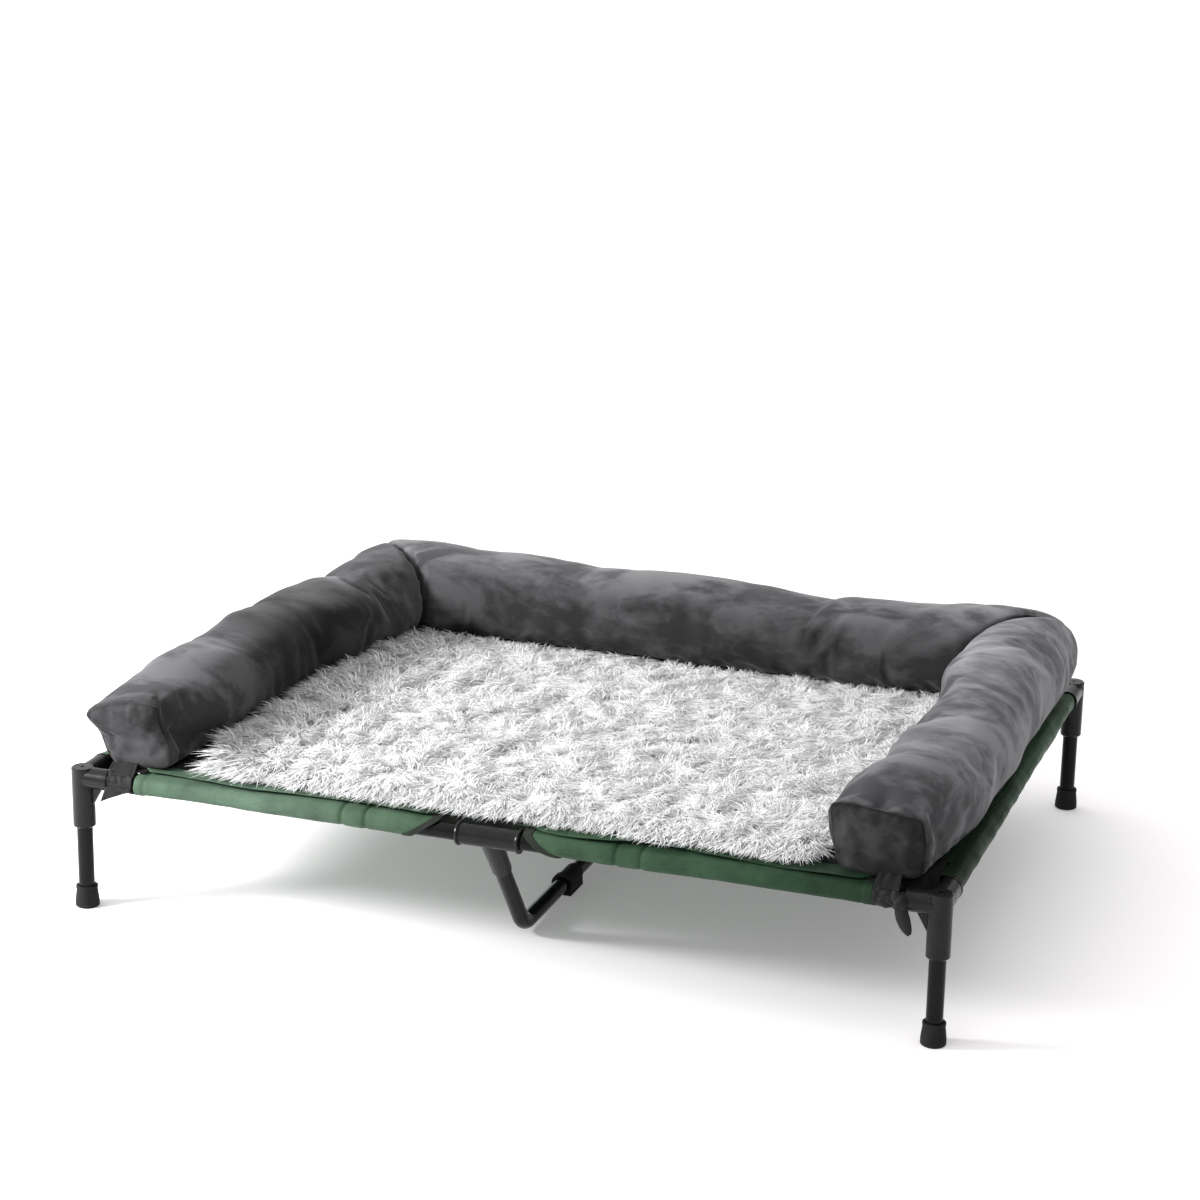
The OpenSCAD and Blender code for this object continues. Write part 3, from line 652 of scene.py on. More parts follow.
class COT_OT_hem_sleeves(bpy.types.Operator):
    """Sew the six hem sleeves that are threaded on the rails"""

    bl_idname = "cot.hem_sleeves"
    bl_label = "Hem Sleeves"

    def execute(self, context):
        sling = settings("sling")
        cloth = coated_cloth(sling.cloth_colour)
        seed = 20
        for end in ENDS:
            for side in SIDES:
                seed += 3
                piece, girth = self.long_sleeve(sling, end, side, seed)
                hand_over(piece, cloth, "sling_cloth", f"hem_sleeve_{end}_{side}")
        for side in SIDES:
            seed += 3
            piece, girth = self.side_sleeve(sling, side, seed)
            hand_over(piece, cloth, "sling_cloth", f"hem_sleeve_{side}")
        return {"FINISHED"}

    @staticmethod
    def section(sling, w):
        """Section of a sleeve inwards of its rail and over it, and its girth."""
        return hem_curve(w, sling.sleeve_radius / MM - SLEEVE_INSET, sling.seam_offset / MM, SEAM_UP)

    def long_sleeve(self, sling, end, side, seed):
        """One half of the front or back hem, up to its slanted end at the tee connector."""
        piece, u, w = new_grid(f"sling_hem_sleeve_{end}_{side}", 210, 28)
        inwards, upwards, girth = self.section(sling, w)
        near = tee_edge(side, upwards, sling.sleeve_radius / MM)
        x = LONG_SLEEVE_END + u * (near - LONG_SLEEVE_END)
        relief = hem_relief(x, w, (LONG_SLEEVE_END,), seed)
        for ring in (-RING_SEAM_HALF, RING_SEAM_HALF):
            relief = relief - RING_SEAM_DEPTH * bell(x - RING_SEAM_X - ring, 2.4)
        inwards, upwards = stand_off(inwards, upwards, relief, w, SLEEVE_FADE)
        set_points(piece, rows(SIDES[side] * x, ENDS[end] * (LEG_Y - inwards), RAIL_Z + upwards))
        self.close(piece, sling, RING_SEAM_X)
        return piece, girth

    def side_sleeve(self, sling, side, seed):
        """The hem of a short side, with finer folds."""
        piece, u, w = new_grid(f"sling_hem_sleeve_{side}", 190, 30)
        inwards, upwards, girth = self.section(sling, w)
        y = (2 * u - 1) * SIDE_SLEEVE_END
        relief = hem_relief(y, w, (-SIDE_SLEEVE_END, SIDE_SLEEVE_END), seed)
        relief = relief + 0.30 * waves(rows(y / 45.0 + 2.0 * w, 0.3 * w), 1.3, seed + 2)
        inwards, upwards = stand_off(inwards, upwards, relief, w, SLEEVE_FADE)
        set_points(piece, rows(SIDES[side] * (LEG_X - inwards), y, RAIL_Z + upwards))
        self.close(piece, sling)
        return piece, girth

    @staticmethod
    def close(piece, sling, rings=0.0):
        """Sews a sleeve shut and gives it its painted light, with painted shade along its ring seams."""
        close_seams(piece, 0.05)
        apply_modifier(piece, "SOLIDIFY", thickness=sling.cloth_thickness, offset=-1.0)
        points = get_points(piece)
        x, tone = points[:, 0] / MM, dye(points)
        # Painted shade in the grooves of the ring seams
        if rings:
            tone = tone * (1 - 0.5 * bell(np.abs(np.abs(x) - rings) - RING_SEAM_HALF, 1.8))
        note(piece, dye=tone)
        smooth(piece)


# The strip of the panel that shows beside the topper lies level over the sleeves, then comes down
STRIP_LIFT = 3.0
STRIP_FLAT = 30.0
STRIP_FALL = 18.0
# Depth of the sag, how far inwards of the free edge it starts and over what length it deepens
PANEL_SAG = 9.0
SAG_START = 60.0
SAG_RUN = 260.0
# How far the bound edge behind a tee connector stands out from the hem seam
FOLD_REACH = 7.0
# The long lips narrow beside a tee connector: how far beyond the tape, and over what length
LIP_NARROWS = 22.0
LIP_NARROWING = 12.0
# A stretch of the front lip that is turned up a little
TURNED_LIP_X = 214.0
TURNED_LIP_HALF = 26.0
TURNED_LIP_RISE = 3.4
TURNED_LIP_WIDTH = 14.0
# How far the free edge of a lip strays from a straight line
LIP_STRAY = 3.0
# The corners of the panel are cut off this far inside the sleeve ends
CORNER_CUT_X = 16.0
CORNER_CUT_Y = 2.0


def panel_half():
    """Half sizes of the panel between its hem seams, and the reach of its lips."""
    sling = settings("sling")
    seam = sling.seam_offset / MM
    return LEG_X - seam, LEG_Y - seam, sling.lip_reach / MM


def panel_height(x, y, edge):
    """Top of the panel at a distance from its free edge."""
    place = rows(x, y)
    strip = 1 - ease((edge - STRIP_FLAT) / STRIP_FALL)
    wave = 0.75 * waves(place, 150.0, 5) + 0.35 * waves(place, 52.0, 6)
    turned = TURNED_LIP_RISE * bell(x - TURNED_LIP_X, TURNED_LIP_HALF) * (y < 0)
    turned = turned * ease((TURNED_LIP_WIDTH - edge) / TURNED_LIP_WIDTH)
    sag = PANEL_SAG * ease((edge - SAG_START) / SAG_RUN)
    return PANEL_TOP - 0.2 - sag + strip * (STRIP_LIFT + wave) + turned


class COT_OT_sling_panel(bpy.types.Operator):
    """Stretch the sling panel between the hem seams, with its free lips over the sleeves"""

    bl_idname = "cot.sling_panel"
    bl_label = "Sling Panel"

    def execute(self, context):
        sling = settings("sling")
        half_x, half_y, lip = panel_half()
        half_x, half_y = half_x + lip, half_y + lip
        piece, u, v = new_grid("sling_panel_cloth", 170, 130)
        # Rows lie closer together near the edges, where the strip shows
        x = half_x * np.sin((2 * u - 1) * math.pi / 2)
        y = half_y * np.sin((2 * v - 1) * math.pi / 2)
        edge_x, edge_y = half_x - np.abs(x), half_y - np.abs(y)
        edge = np.minimum(edge_x, edge_y)
        z = panel_height(x, y, edge)
        stray = LIP_STRAY * waves(rows(x, y), 230.0, 9) * ease((lip - edge) / lip)
        x = x + np.sign(x) * stray * (edge_x < edge_y)
        y = y + np.sign(y) * stray * (edge_y <= edge_x)
        # The long lips stop short of the tee connectors
        at_tee = ease((x + TEE_EDGE["left"] + LIP_NARROWS) / LIP_NARROWING)
        at_tee = at_tee * ease((TEE_EDGE["right"] + LIP_NARROWS - x) / LIP_NARROWING)
        y = y - np.sign(y) * at_tee * (lip - FOLD_REACH) * ease(1 - edge_y / (1.6 * lip))
        set_points(piece, rows(x, y, z))
        area = self.cut_corners(piece, half_x, half_y)
        apply_modifier(piece, "SOLIDIFY", thickness=sling.cloth_thickness, offset=-1.0)
        # Painted light on the panel, the same as on the sleeves
        note(piece, dye=dye(get_points(piece)))
        smooth(piece)
        hand_over(piece, bpy.data.materials["coated_cloth"], "sling_cloth", "sling_panel")
        return {"FINISHED"}

    @staticmethod
    def cut_corners(piece, half_x, half_y):
        """Cuts the four corners off on the slant, and gives the area that is left."""
        cut_x, cut_y = LONG_SLEEVE_END - CORNER_CUT_X, SIDE_SLEEVE_END - CORNER_CUT_Y
        edit_all(piece)
        for side_x in SIDES.values():
            for side_y in ENDS.values():
                bpy.ops.mesh.select_all(action="SELECT")
                bpy.ops.mesh.bisect(
                    plane_co=(side_x * cut_x * MM, side_y * half_y * MM, 0),
                    plane_no=(side_x * (half_y - cut_y), side_y * (half_x - cut_x), 0), clear_outer=True)
        bpy.ops.object.mode_set(mode="OBJECT")
        return 4 * half_x * half_y - 2 * (half_x - cut_x) * (half_y - cut_y)


# Section of the fold behind a tee connector at shares of its width: outwards from the hem seam and up
# from the panel
FOLD_AT = (0.0, 0.29, 0.39, 0.49, 0.74, 0.88, 1.0)
FOLD_OUT = (-6.0, 4.0, 6.5, 6.5, 4.8, 4.4, 4.2)
FOLD_UP = (5.2, 4.8, 2.6, -1.0, -9.0, -14.0, -18.0)
# How far the fold runs on behind the sleeves on each side of the opening
FOLD_OVERLAP = 15.0
FOLD_LENGTH = TEE_EDGE["left"] + TEE_EDGE["right"] + 2 * FOLD_OVERLAP
TAPE_THICKNESS = 0.0006


class COT_OT_binding_tapes(bpy.types.Operator):
    """Bind the slanted sleeve ends at the tee connectors with tape"""

    bl_idname = "cot.binding_tapes"
    bl_label = "Binding Tapes"

    def execute(self, context):
        sling = settings("sling")
        tape = ribbed_tape("binding_tape", sling.tape_colour, 300)
        for end in ENDS:
            strips = []
            for side in SIDES:
                piece, girth = self.strip(sling, end, side)
                strips.append(piece)
            strips.append(self.fold(sling, end))
            tape_set = join(strips, f"sling_binding_{end}")
            turn_outwards(tape_set)
            apply_modifier(tape_set, "SOLIDIFY", thickness=TAPE_THICKNESS, offset=0.0)
            smooth(tape_set)
            hand_over(tape_set, tape, "binding_tape", f"binding_tape_{end}")
        return {"FINISHED"}

    @staticmethod
    def strip(sling, end, side):
        """The tape round the slanted end of one sleeve."""
        radius, seam = sling.sleeve_radius / MM, sling.seam_offset / MM
        piece, u, w = new_grid(f"tape_strip_{end}", 14, 48)
        inwards, upwards, girth = hem_curve(w, radius + 0.1, seam, SEAM_UP + 0.6)
        x = tee_edge(side, upwards, radius) + u * TAPE_WIDTH - 0.4
        bulge = 0.55 * np.sin(np.pi * u) ** 0.5 + 0.25 * waves(rows(w * 6, u), 1.2, 60 + SIDES[side])
        inwards, upwards = stand_off(inwards, upwards, bulge, w, TAPE_FADE)
        set_points(piece, rows(SIDES[side] * x, ENDS[end] * (LEG_Y - inwards), RAIL_Z + upwards))
        close_seams(piece, 0.05)
        return piece, girth

    @staticmethod
    def fold(sling, end):
        """The same tape over the raw panel edge: it comes from above and hangs down behind the rail."""
        piece, u, w = new_grid(f"tape_fold_{end}", 60, 24)
        x = u * FOLD_LENGTH - TEE_EDGE["left"] - FOLD_OVERLAP
        y = LEG_Y - sling.seam_offset / MM + np.interp(w, FOLD_AT, FOLD_OUT)
        z = PANEL_TOP + np.interp(w, FOLD_AT, FOLD_UP) + 0.8 * waves(rows(x), 70.0, 71)
        set_points(piece, rows(x, ENDS[end] * y, z))
        return piece


# Topper

# Between its corners the base cloth ends under the side rolls
BASE_INSET = 18.0
BASE_THICKNESS = 0.0012
# How far the corners of the base cloth reach beyond its long edges
TAB_REACH = 33.0
# How far the outermost corners stay back from there, and how deep they are tucked in
TUCK_SETBACK = 17.0
TUCK_DROP = 22.0
# How far a tab bends down over the lip of the panel, and how far its corner is pulled in
TAB_FALL = 3.6
CORNER_PULL = 2.5
# The base cloth lies this far over the panel
BASE_LIFT = 1.5
# Distances from the middle of the cot where each change of the base cloth starts, and its length
INSET_ENDS_Y = (318.0, 40.0)
TAB_STARTS_X = (494.0, 10.0)
CORNER_STARTS_X = (538.0, 6.0)
CORNER_STARTS_Y = (372.0, 14.0)
TAB_FALLS_Y = (408.0, 24.0)
TUCK_STARTS_Y = (410.0, 15.0)
TUCK_STARTS_X = (564.0, 14.0)
PULL_STARTS_X = (570.0, 10.0)
# The same for the reach of a tab, in shares of the half depth
TAB_REACHES = (0.86, 0.14)


class COT_OT_topper_base(bpy.types.Operator):
    """Lay the base cloth of the topper on the sling"""

    bl_idname = "cot.topper_base"
    bl_label = "Topper Base"

    def execute(self, context):
        topper = settings("topper")
        piece, u, v = new_grid("topper_base_cloth", 150, 90)
        half_x, half_y = BASE_HIGH[0], BASE_HIGH[1]
        a, b = np.sin((u - 0.5) * math.pi), np.sin((v - 0.5) * math.pi)
        y = b * half_y
        x = a * (half_x - BASE_INSET * (1 - past(y, *INSET_ENDS_Y)))
        # A tab near each corner reaches out to its tie strap; the corner itself is tucked into the frame
        tab = past(x, *TAB_STARTS_X)
        corner = past(x, *CORNER_STARTS_X) * past(y, *CORNER_STARTS_Y)
        reach = TAB_REACH - TUCK_SETBACK * corner
        y = y + np.sign(y) * tab * reach * past(b, *TAB_REACHES)
        x = x - np.sign(x) * CORNER_PULL * corner * past(x, *PULL_STARTS_X)
        panel_x, panel_y, lip = panel_half()
        on_panel = np.minimum(panel_x + lip - np.abs(x), panel_y + lip - np.abs(y))
        z = panel_height(x, y, on_panel) + BASE_LIFT
        z = z - TAB_FALL * tab * past(y, *TAB_FALLS_Y)
        tucked = np.maximum(past(y, *TUCK_STARTS_Y), past(x, *TUCK_STARTS_X))
        z = z - TUCK_DROP * corner * tucked
        set_points(piece, rows(x, y, z))
        apply_modifier(piece, "SOLIDIFY", thickness=BASE_THICKNESS, offset=-1.0)
        smooth(piece)
        hand_over(piece, backing_cloth(topper.backing_colour), "topper_base_cloth", "topper_base")
        return {"FINISHED"}


# Bolster

# Half width and height of a roll, and the height of its widest place
ROLL_HALF = 80.0
ROLL_TOP = 120.0
ROLL_BELLY = 54.0
# The ends of a roll close towards this height
ROLL_CORE_Z = TOPPER_Z + 46.0
BACK_AXIS_Y = 345.0
FRONT_END_Y = -427.0
# How deep a mitre seam draws the cover in, how much painted shade lies along it, and half the gap between
# two rolls
SEAM_PINCH = 7.0
MITRE_PAINTED_SHADE = 0.5
MITRE_GAP = 0.4
# Swells and creases fade out below this height over the base
SWELL_FADE = 26.0
# The stuffing leaves a roll as it is up to this height, where it lies on the base
REST_HEIGHT = 10.0
# The sewn end panels: their mean radius, how far they bulge, the painted light on them and the painted
# shade along their seams
END_RADIUS = 55.0
END_PUFF = 11.0
END_PAINTED_LIGHT = {"left": 0.70, "right": 0.43}
SEAM_PAINTED_SHADE = {"left": 0.35, "right": 0.6}
# How pale each roll is painted along its length: painted light, brighter where the light falls on it
NAP_PAINTED_LIGHT = {
    "left": ((0, 90, 220, 340, 480, 620, 772), (0.72, 0.96, 0.70, 0.19, 0.19, 0.56, 0.56)),
    "back": ((0, 300, 700, 900, 1024), (1.42, 1.42, 1.18, 1.32, 2.20)),
    "right": ((0, 150, 400, 772), (1.40, 1.50, 1.56, 2.25)),
}
# Direction in which the painted light is strongest, in degrees over the outward level
PAINTED_LIGHT_TOWARD = {"left": 50, "right": 65, "back": 50}
# Distance of each side roll from the middle of the cot at its front end and at its back corner
ROLL_AXIS = {"left": (534.0, 494.0), "right": (508.0, 532.0)}
# How far each side roll bends inwards as it nears its back corner
ROLL_BEND = {"left": 24.0, "right": 0.0}
# How far each side roll bows outwards in its front half, and how much slimmer it gets towards its back
ROLL_BOW = {"left": 0.0, "right": 19.0}
INNER_DRAW = {"left": 0.0, "right": 16.0}
# Width of the back roll from its axis to its front, along its length
BACK_FRONT = ((0, 500, 700, 790, 880, 960, 1024), (80, 83, 91, 97, 94, 78, 64))
# How much the outer side is drawn in at each back corner and over what length, and how far the shape
# of each front end reaches
CORNER_DRAW = {"left": 15.0, "right": 5.0}
CORNER_RUN = 150.0
END_REACH = {"left": 150.0, "right": 95.0}
# Rise and fall of the top of each roll along its length
TOP_LINE = {
    "left": ((0, 110, 200, 290, 350, 430, 515, 560, 610, 660, 720, 772),
             (-8, -12, -11, -13, -4, -4, -9, -8, -14, -3, 4, 6)),
    "right": ((0, 120, 260, 400, 540, 680, 772), (0, 1, -2, 0, 2, 4, 4)),
    "back": ((0, 90, 180, 330, 520, 700, 840, 940, 1024), (3, 4, 1, -1, -4, -8, 0, 5, 5)),
}
# Outlines of the two sewn end panels, as outward distance and height at angles round the roll
END_KEYS = (0, 30, 45, 65, 90, 115, 135, 152, 180, 205, 225, 250, 270, 300, 325, 345)
END_PANEL = {
    "left": (
        (50, 250), (59, 263), (63, 272), (39, 285), (9, 295), (-20, 299), (-44, 298), (-53, 274),
        (-59, 250), (-65, 226), (-58, 211), (-34, 207), (-6, 205), (18, 206), (34, 220), (43, 237)),
    "right": (
        (63, 252), (63, 271), (58, 288), (34, 292), (2, 296), (-33, 297), (-62, 293), (-63, 272),
        (-61, 250), (-57, 228), (-46, 211), (-22, 206), (0, 205), (30, 206), (56, 212), (62, 230)),
}


def painted_facing_light(angle, side):
    """Painted light: the top of a roll is painted pale and its inner side dark."""
    toward = np.cos(angle - math.radians(PAINTED_LIGHT_TOWARD[side]))
    if side == "left":
        return 1.6 + 0.4 * ease((toward - 0.1) / 0.85)
    return 0.6 + ease((toward + 0.35) / 1.2)


def roll_axis(side, share):
    """Distance of a side roll from the middle of the cot along its length."""
    front_x, back_x = ROLL_AXIS[side]
    bow = ROLL_BOW[side] * ease(share / 0.22) * (1 - ease((share - 0.4) / 0.45))
    return front_x + share * (back_x - front_x) + bow - ROLL_BEND[side] * ease((share - 0.5) / 0.5)


def roll_inner(side, share):
    """Width of a side roll from its axis inwards."""
    return ROLL_HALF - INNER_DRAW[side] * ease((share - 0.3) / 0.4)


def signed_power(v, power):
    return np.sign(v) * np.abs(v) ** power


def roll_section(angle, outer, inner, top):
    """Section of a roll as outward distance and height over the base."""
    c, s = np.cos(angle), np.sin(angle)
    out = signed_power(c, 0.84) * np.where(c > 0, outer, inner)
    above = signed_power(s, 0.88) * (top - ROLL_BELLY)
    below = signed_power(s, 0.6) * ROLL_BELLY
    return out, ROLL_BELLY + np.where(s > 0, above, below)


def near_corner(far):
    """How much a back corner draws a roll in, at a distance from it."""
    return np.clip(1 - far / CORNER_RUN, 0, 1) ** 2


def crowd_ends(share):
    """Sets the rows of a roll closer together towards its ends."""
    return 0.35 * share + 0.65 * (1 - np.cos(np.pi * share)) / 2


def close_ends(out, up, scale):
    """Draws the end caps of a roll together in their middle."""
    return out * scale, ROLL_CORE_Z + (up - ROLL_CORE_Z) * scale


def swelling(run, angle, heights, lengths, seed):
    """Uneven stuffing, with the heights and wave lengths of its broad and its fine swells."""
    places = rows(run / 100.0, np.cos(angle), np.sin(angle))
    broad = heights[0] * waves(places * [1, 0.4, 0.4], lengths[0], seed)
    return broad + heights[1] * waves(places, lengths[1], seed + 6)


# Greatest depth of a cross crease
CREASE_DEPTH = 2.0


def creases(run, angle, length, count, seed):
    """Soft cross creases, each over part of the girth."""
    draw = np.random.default_rng(seed)
    total = np.zeros_like(run)
    for _ in range(count):
        at = draw.uniform(0.08, 0.94) * length
        mid = draw.uniform(-0.4, 3.4)
        slant = draw.normal(0, 22.0)
        bow = draw.normal(0, 10.0)
        span = draw.uniform(0.5, 1.1)
        width = draw.uniform(7.0, 15.0)
        deep = draw.uniform(0.4, 1.0) * CREASE_DEPTH
        turn = np.angle(np.exp(1j * (angle - mid)))
        path = run - at - slant * turn - bow * turn**2
        total -= deep * bell(path, width) * bell(turn, span)
        total += 0.45 * deep * bell(path - 1.9 * width, width) * bell(turn, span)
    return total


def puckers(run, angle, reach, count, seed):
    """Gathers that fan out from a sewn end."""
    draw = np.random.default_rng(seed)
    total = np.zeros_like(run)
    for _ in range(count):
        at = draw.uniform(0, 2 * np.pi)
        width = draw.uniform(0.05, 0.11)
        far = draw.uniform(0.35, 1.0) * reach
        deep = draw.uniform(0.8, 2.6)
        turn = np.angle(np.exp(1j * (angle - at)))
        total -= deep * bell(turn, width * (1 + run / (1.2 * reach))) * np.exp(-((run / far) ** 2))
    return total


def roll_grid(name, around, along, cap):
    """A grid to be rolled up: its angle, its row share and the share of the way out on each end cap."""
    piece, u, v = new_grid(name, around, along + 2 * cap)
    row = np.rint(v * (along + 2 * cap))
    first = np.clip(row / cap, 0, 1)
    last = np.clip((along + 2 * cap - row) / cap, 0, 1)
    share = np.clip((row - cap) / along, 0, 1)
    return piece, 2 * np.pi * u, share, first, last


class COT_OT_bolsters(bpy.types.Operator):
    """Stuff the three bolster rolls"""

    bl_idname = "cot.bolsters"
    bl_label = "Bolsters"

    def execute(self, context):
        topper = settings("topper")
        suede = brushed_suede(topper.suede_dark, topper.suede_light)
        for side, side_x in SIDES.items():
            piece = self.side_roll(side, side_x)
            self.finish(piece, suede, side)
        piece = self.back_roll()
        self.finish(piece, suede, "back")
        return {"FINISHED"}

    @staticmethod
    def finish(piece, suede, side):
        close_seams(piece)
        puff(piece)
        apply_modifier(piece, "SUBSURF", levels=1, render_levels=1)
        smooth(piece)
        hand_over(piece, suede, "bolster_suede", f"bolster_cover_{side}", f"bolster_filling_{side}")

    @staticmethod
    def side_swell(run, angle, length, side_x):
        """Relief of a side roll: swells, creases, gathers at both ends and the seam of the end panel."""
        swell = swelling(run, angle, (2.2, 1.6), (3.4, 1.5), 101 + side_x)
        swell = swell + creases(run, angle, length, 20, 130 + side_x)
        swell = swell + puckers(run, angle, 62.0, 34, 140 + side_x) * ease(run / 7.0)
        swell = swell + 0.6 * puckers(run, angle, 24.0, 44, 144 + side_x) * ease(run / 5.0)
        swell = swell + puckers(length - run, angle, 40.0, 20, 150 + side_x)
        swell = swell - 3.2 * bell(run, 2.4) + 2.4 * bell(run - 11.0, 7.0)
        return swell - SEAM_PINCH * bell(length - run, 9.0)

    @staticmethod
    def end_bulge(first, angle, from_seam, side_x):
        """How far the sewn end panel stands out, from its middle to its seam."""
        rounded = rows(first * np.cos(angle), first * np.sin(angle))
        bulge = END_PUFF * (1 - first**4) + 1.6 * waves(rounded, 0.7, 160 + side_x) * (1 - first**2)
        return bulge + 0.5 * puckers(from_seam, angle, 26.0, 36, 164 + side_x) * (1 - first**8)

    def side_roll(self, side, side_x):
        piece, angle, share, first, last = roll_grid(f"bolster_{side}", 112, 132, 16)
        # Rows of the end panel lie closer together at its seam
        first = 1 - (1 - first) ** 1.5
        share = crowd_ends(share)
        length = BACK_AXIS_Y - FRONT_END_Y
        run = share * length
        outer = ROLL_HALF - CORNER_DRAW[side] * near_corner(length - run)
        top = ROLL_TOP + np.interp(run, *TOP_LINE[side])
        out, up = roll_section(angle, outer, roll_inner(side, share), top)
        up = up + TOPPER_Z
        end = along_loop(END_KEYS, END_PANEL[side], np.degrees(angle))
        near = 1 - ease(run / END_REACH[side])
        out = out + near * (end[:, 0] - out)
        up = up + near * (end[:, 1] - up)
        over = up - TOPPER_Z
        swell = self.side_swell(run, angle, length, side_x) * ease(over / SWELL_FADE)
        out = out + swell * np.cos(angle)
        up = up + swell * np.sin(angle)
        # The back end is cut on the mitre, and both ends close in their middle
        mitre = BACK_AXIS_Y + out - MITRE_GAP
        y = FRONT_END_Y + share * (mitre - FRONT_END_Y)
        from_seam = END_RADIUS * (1 - first)
        y = y - np.where(first < 1, self.end_bulge(first, angle, from_seam, side_x), 0.0)
        scale = np.minimum(first, last)
        y = np.where(last < 1, BACK_AXIS_Y + scale * out - MITRE_GAP, y)
        out, up = close_ends(out, up, scale)
        set_points(piece, rows(side_x * (roll_axis(side, share) + out), y, up))
        # Painted light and shade: pale where the light falls on top, darker near the front end and on the
        # end panel, with painted shade along the seams
        nap = np.interp(run, *NAP_PAINTED_LIGHT[side]) * painted_facing_light(angle, side) * (1 - 0.3 * bell(run, 110.0))
        nap = np.where(first < 1, END_PAINTED_LIGHT[side], nap)
        nap = nap * (1 - SEAM_PAINTED_SHADE[side] * bell(run + from_seam, 2.6))
        nap = nap * (1 - MITRE_PAINTED_SHADE * bell(length - run, 5.0))
        held = (run + from_seam < 1.0) | (first < 0.4) | (length - run < 2.0) | (over < REST_HEIGHT)
        note(piece, nap=nap, held=held)
        return piece

    @staticmethod
    def back_roll():
        piece, angle, share, first, last = roll_grid("bolster_back", 112, 170, 12)
        share = crowd_ends(share)
        left_x, right_x = -float(roll_axis("left", 1.0)), float(roll_axis("right", 1.0))
        length = right_x - left_x
        run = share * length
        from_end = np.minimum(run, length - run)
        top = ROLL_TOP + np.interp(run, *TOP_LINE["back"])
        draw_in = np.where(share < 0.5, CORNER_DRAW["left"], CORNER_DRAW["right"])
        outer = ROLL_HALF - draw_in * near_corner(from_end)
        out, up = roll_section(angle, outer, np.interp(run, *BACK_FRONT), top)
        swell = swelling(run, angle, (2.0, 1.6), (3.6, 1.6), 201)
        swell = swell + creases(run, angle, length, 24, 231)
        swell = swell + puckers(run, angle, 40.0, 20, 241) + puckers(length - run, angle, 40.0, 20, 242)
        swell = swell - SEAM_PINCH * bell(from_end, 9.0)
        swell = swell * ease(up / SWELL_FADE)
        out = out + swell * np.cos(angle)
        up = up + swell * np.sin(angle) + TOPPER_Z
        out, up = close_ends(out, up, np.minimum(first, last))
        x = (left_x - out) + share * ((right_x + out) - (left_x - out))
        x = x + np.where(share < 0.5, MITRE_GAP, -MITRE_GAP)
        set_points(piece, rows(x, BACK_AXIS_Y + out, up))
        # Painted light and shade, with painted shade along the mitre seams
        nap = np.interp(run, *NAP_PAINTED_LIGHT["back"]) * painted_facing_light(angle, "back")
        nap = nap * (1 - MITRE_PAINTED_SHADE * bell(from_end, 5.0))
        note(piece, nap=nap, held=(from_end < 2.0) | (up - TOPPER_Z < REST_HEIGHT))
        return piece


# Length of the stuffing in frames, and the farthest that it may move a point
PUFF_FRAMES = 18
PUFF_LIMIT = 6.0
# The fabric of a cover, which is cut a little full, and the pressure of the stuffing
COVER_FABRIC = {
    "quality": 6, "mass": 0.2, "tension_stiffness": 25, "compression_stiffness": 25,
    "shear_stiffness": 10, "bending_stiffness": 3.0, "use_pressure": True,
    "uniform_pressure_force": 4.0, "shrink_min": -0.025,
}


def puff(piece):
    """Lets the stuffing press on a slightly full cover, so that it gathers at its seams."""
    count = len(piece.data.vertices)
    held = np.empty(count, dtype=np.float32)
    piece.data.attributes["held"].data.foreach_get("value", held)
    group = piece.vertex_groups.new(name="held")
    group.add(np.flatnonzero(held > 0.5).tolist(), 1.0, "REPLACE")
    before = get_points(piece)
    normal = np.empty(3 * count)
    piece.data.vertices.foreach_get("normal", normal)
    normal = normal.reshape(-1, 3)
    cover = piece.modifiers.new("Stuffing", "CLOTH")
    for key, value in COVER_FABRIC.items():
        setattr(cover.settings, key, value)
    cover.settings.vertex_group_mass = group.name
    cover.settings.effector_weights.gravity = 0
    cover.collision_settings.use_collision = False
    cover.point_cache.frame_end = PUFF_FRAMES
    for frame_number in range(1, PUFF_FRAMES + 1):
        bpy.context.scene.frame_set(frame_number)
    swollen = piece.evaluated_get(bpy.context.evaluated_depsgraph_get())
    after = get_points(swollen)
    piece.modifiers.remove(cover)
    piece.vertex_groups.remove(group)
    bpy.context.scene.frame_set(1)
    # Only the gathers are kept: the roll as a whole stays as large as it was
    move = after - before
    swell = (move * normal).sum(axis=1)
    move -= normal * np.median(swell[held < 0.5])
    move *= (1 - held)[:, None]
    far = np.linalg.norm(move, axis=1) / MM
    move *= np.minimum(1.0, PUFF_LIMIT / np.maximum(far, 1e-6))[:, None]
    set_points(piece, (before + move) / MM)


# Plush mat

# How far the pile keeps clear of the left roll, and how much farther at the front corner
PILE_SETBACK = 14.0
CORNER_SETBACK = 26.0
# The pad stays inside the outline of the mat. Height of its edge over the base cloth, and of its crown
# over its edge
PAD_INSET = 4.0
PAD_EDGE = 3.0
PAD_CROWN = 7.0
# The pile overhangs the front of the mat, and is laid out between these distances from the middle
PILE_OVERHANG = 3.0
PILE_SPAN_X = (-470.0, 490.0)
# The pile is made in this many pieces from front to back
PILE_BANDS = 9
# Tone of the roots where the pile is thick; towards its edges painted shade darkens them
PILE_SHADOW = 0.98
# How far the shading of a lock leans towards that of the whole pile
PILE_EVEN = 0.4
# Radius of a tuft at its root
TUFT_RADIUS = 8.0
# Shares of a lock's length at its rings, and how wide it is there
LOCK_AT = np.array([0.0, 0.52])
LOCK_WIDE = np.array([1.0, 0.85])
# Angles of the three corners of a lock
LOCK_CORNERS = (0.5, 2.594, 4.689)
# Spread of the directions, of the rise and of the curl of the locks in a tuft
LOCK_FAN = 0.30
LOCK_LIFT = 0.10
LOCK_CURL = 0.16
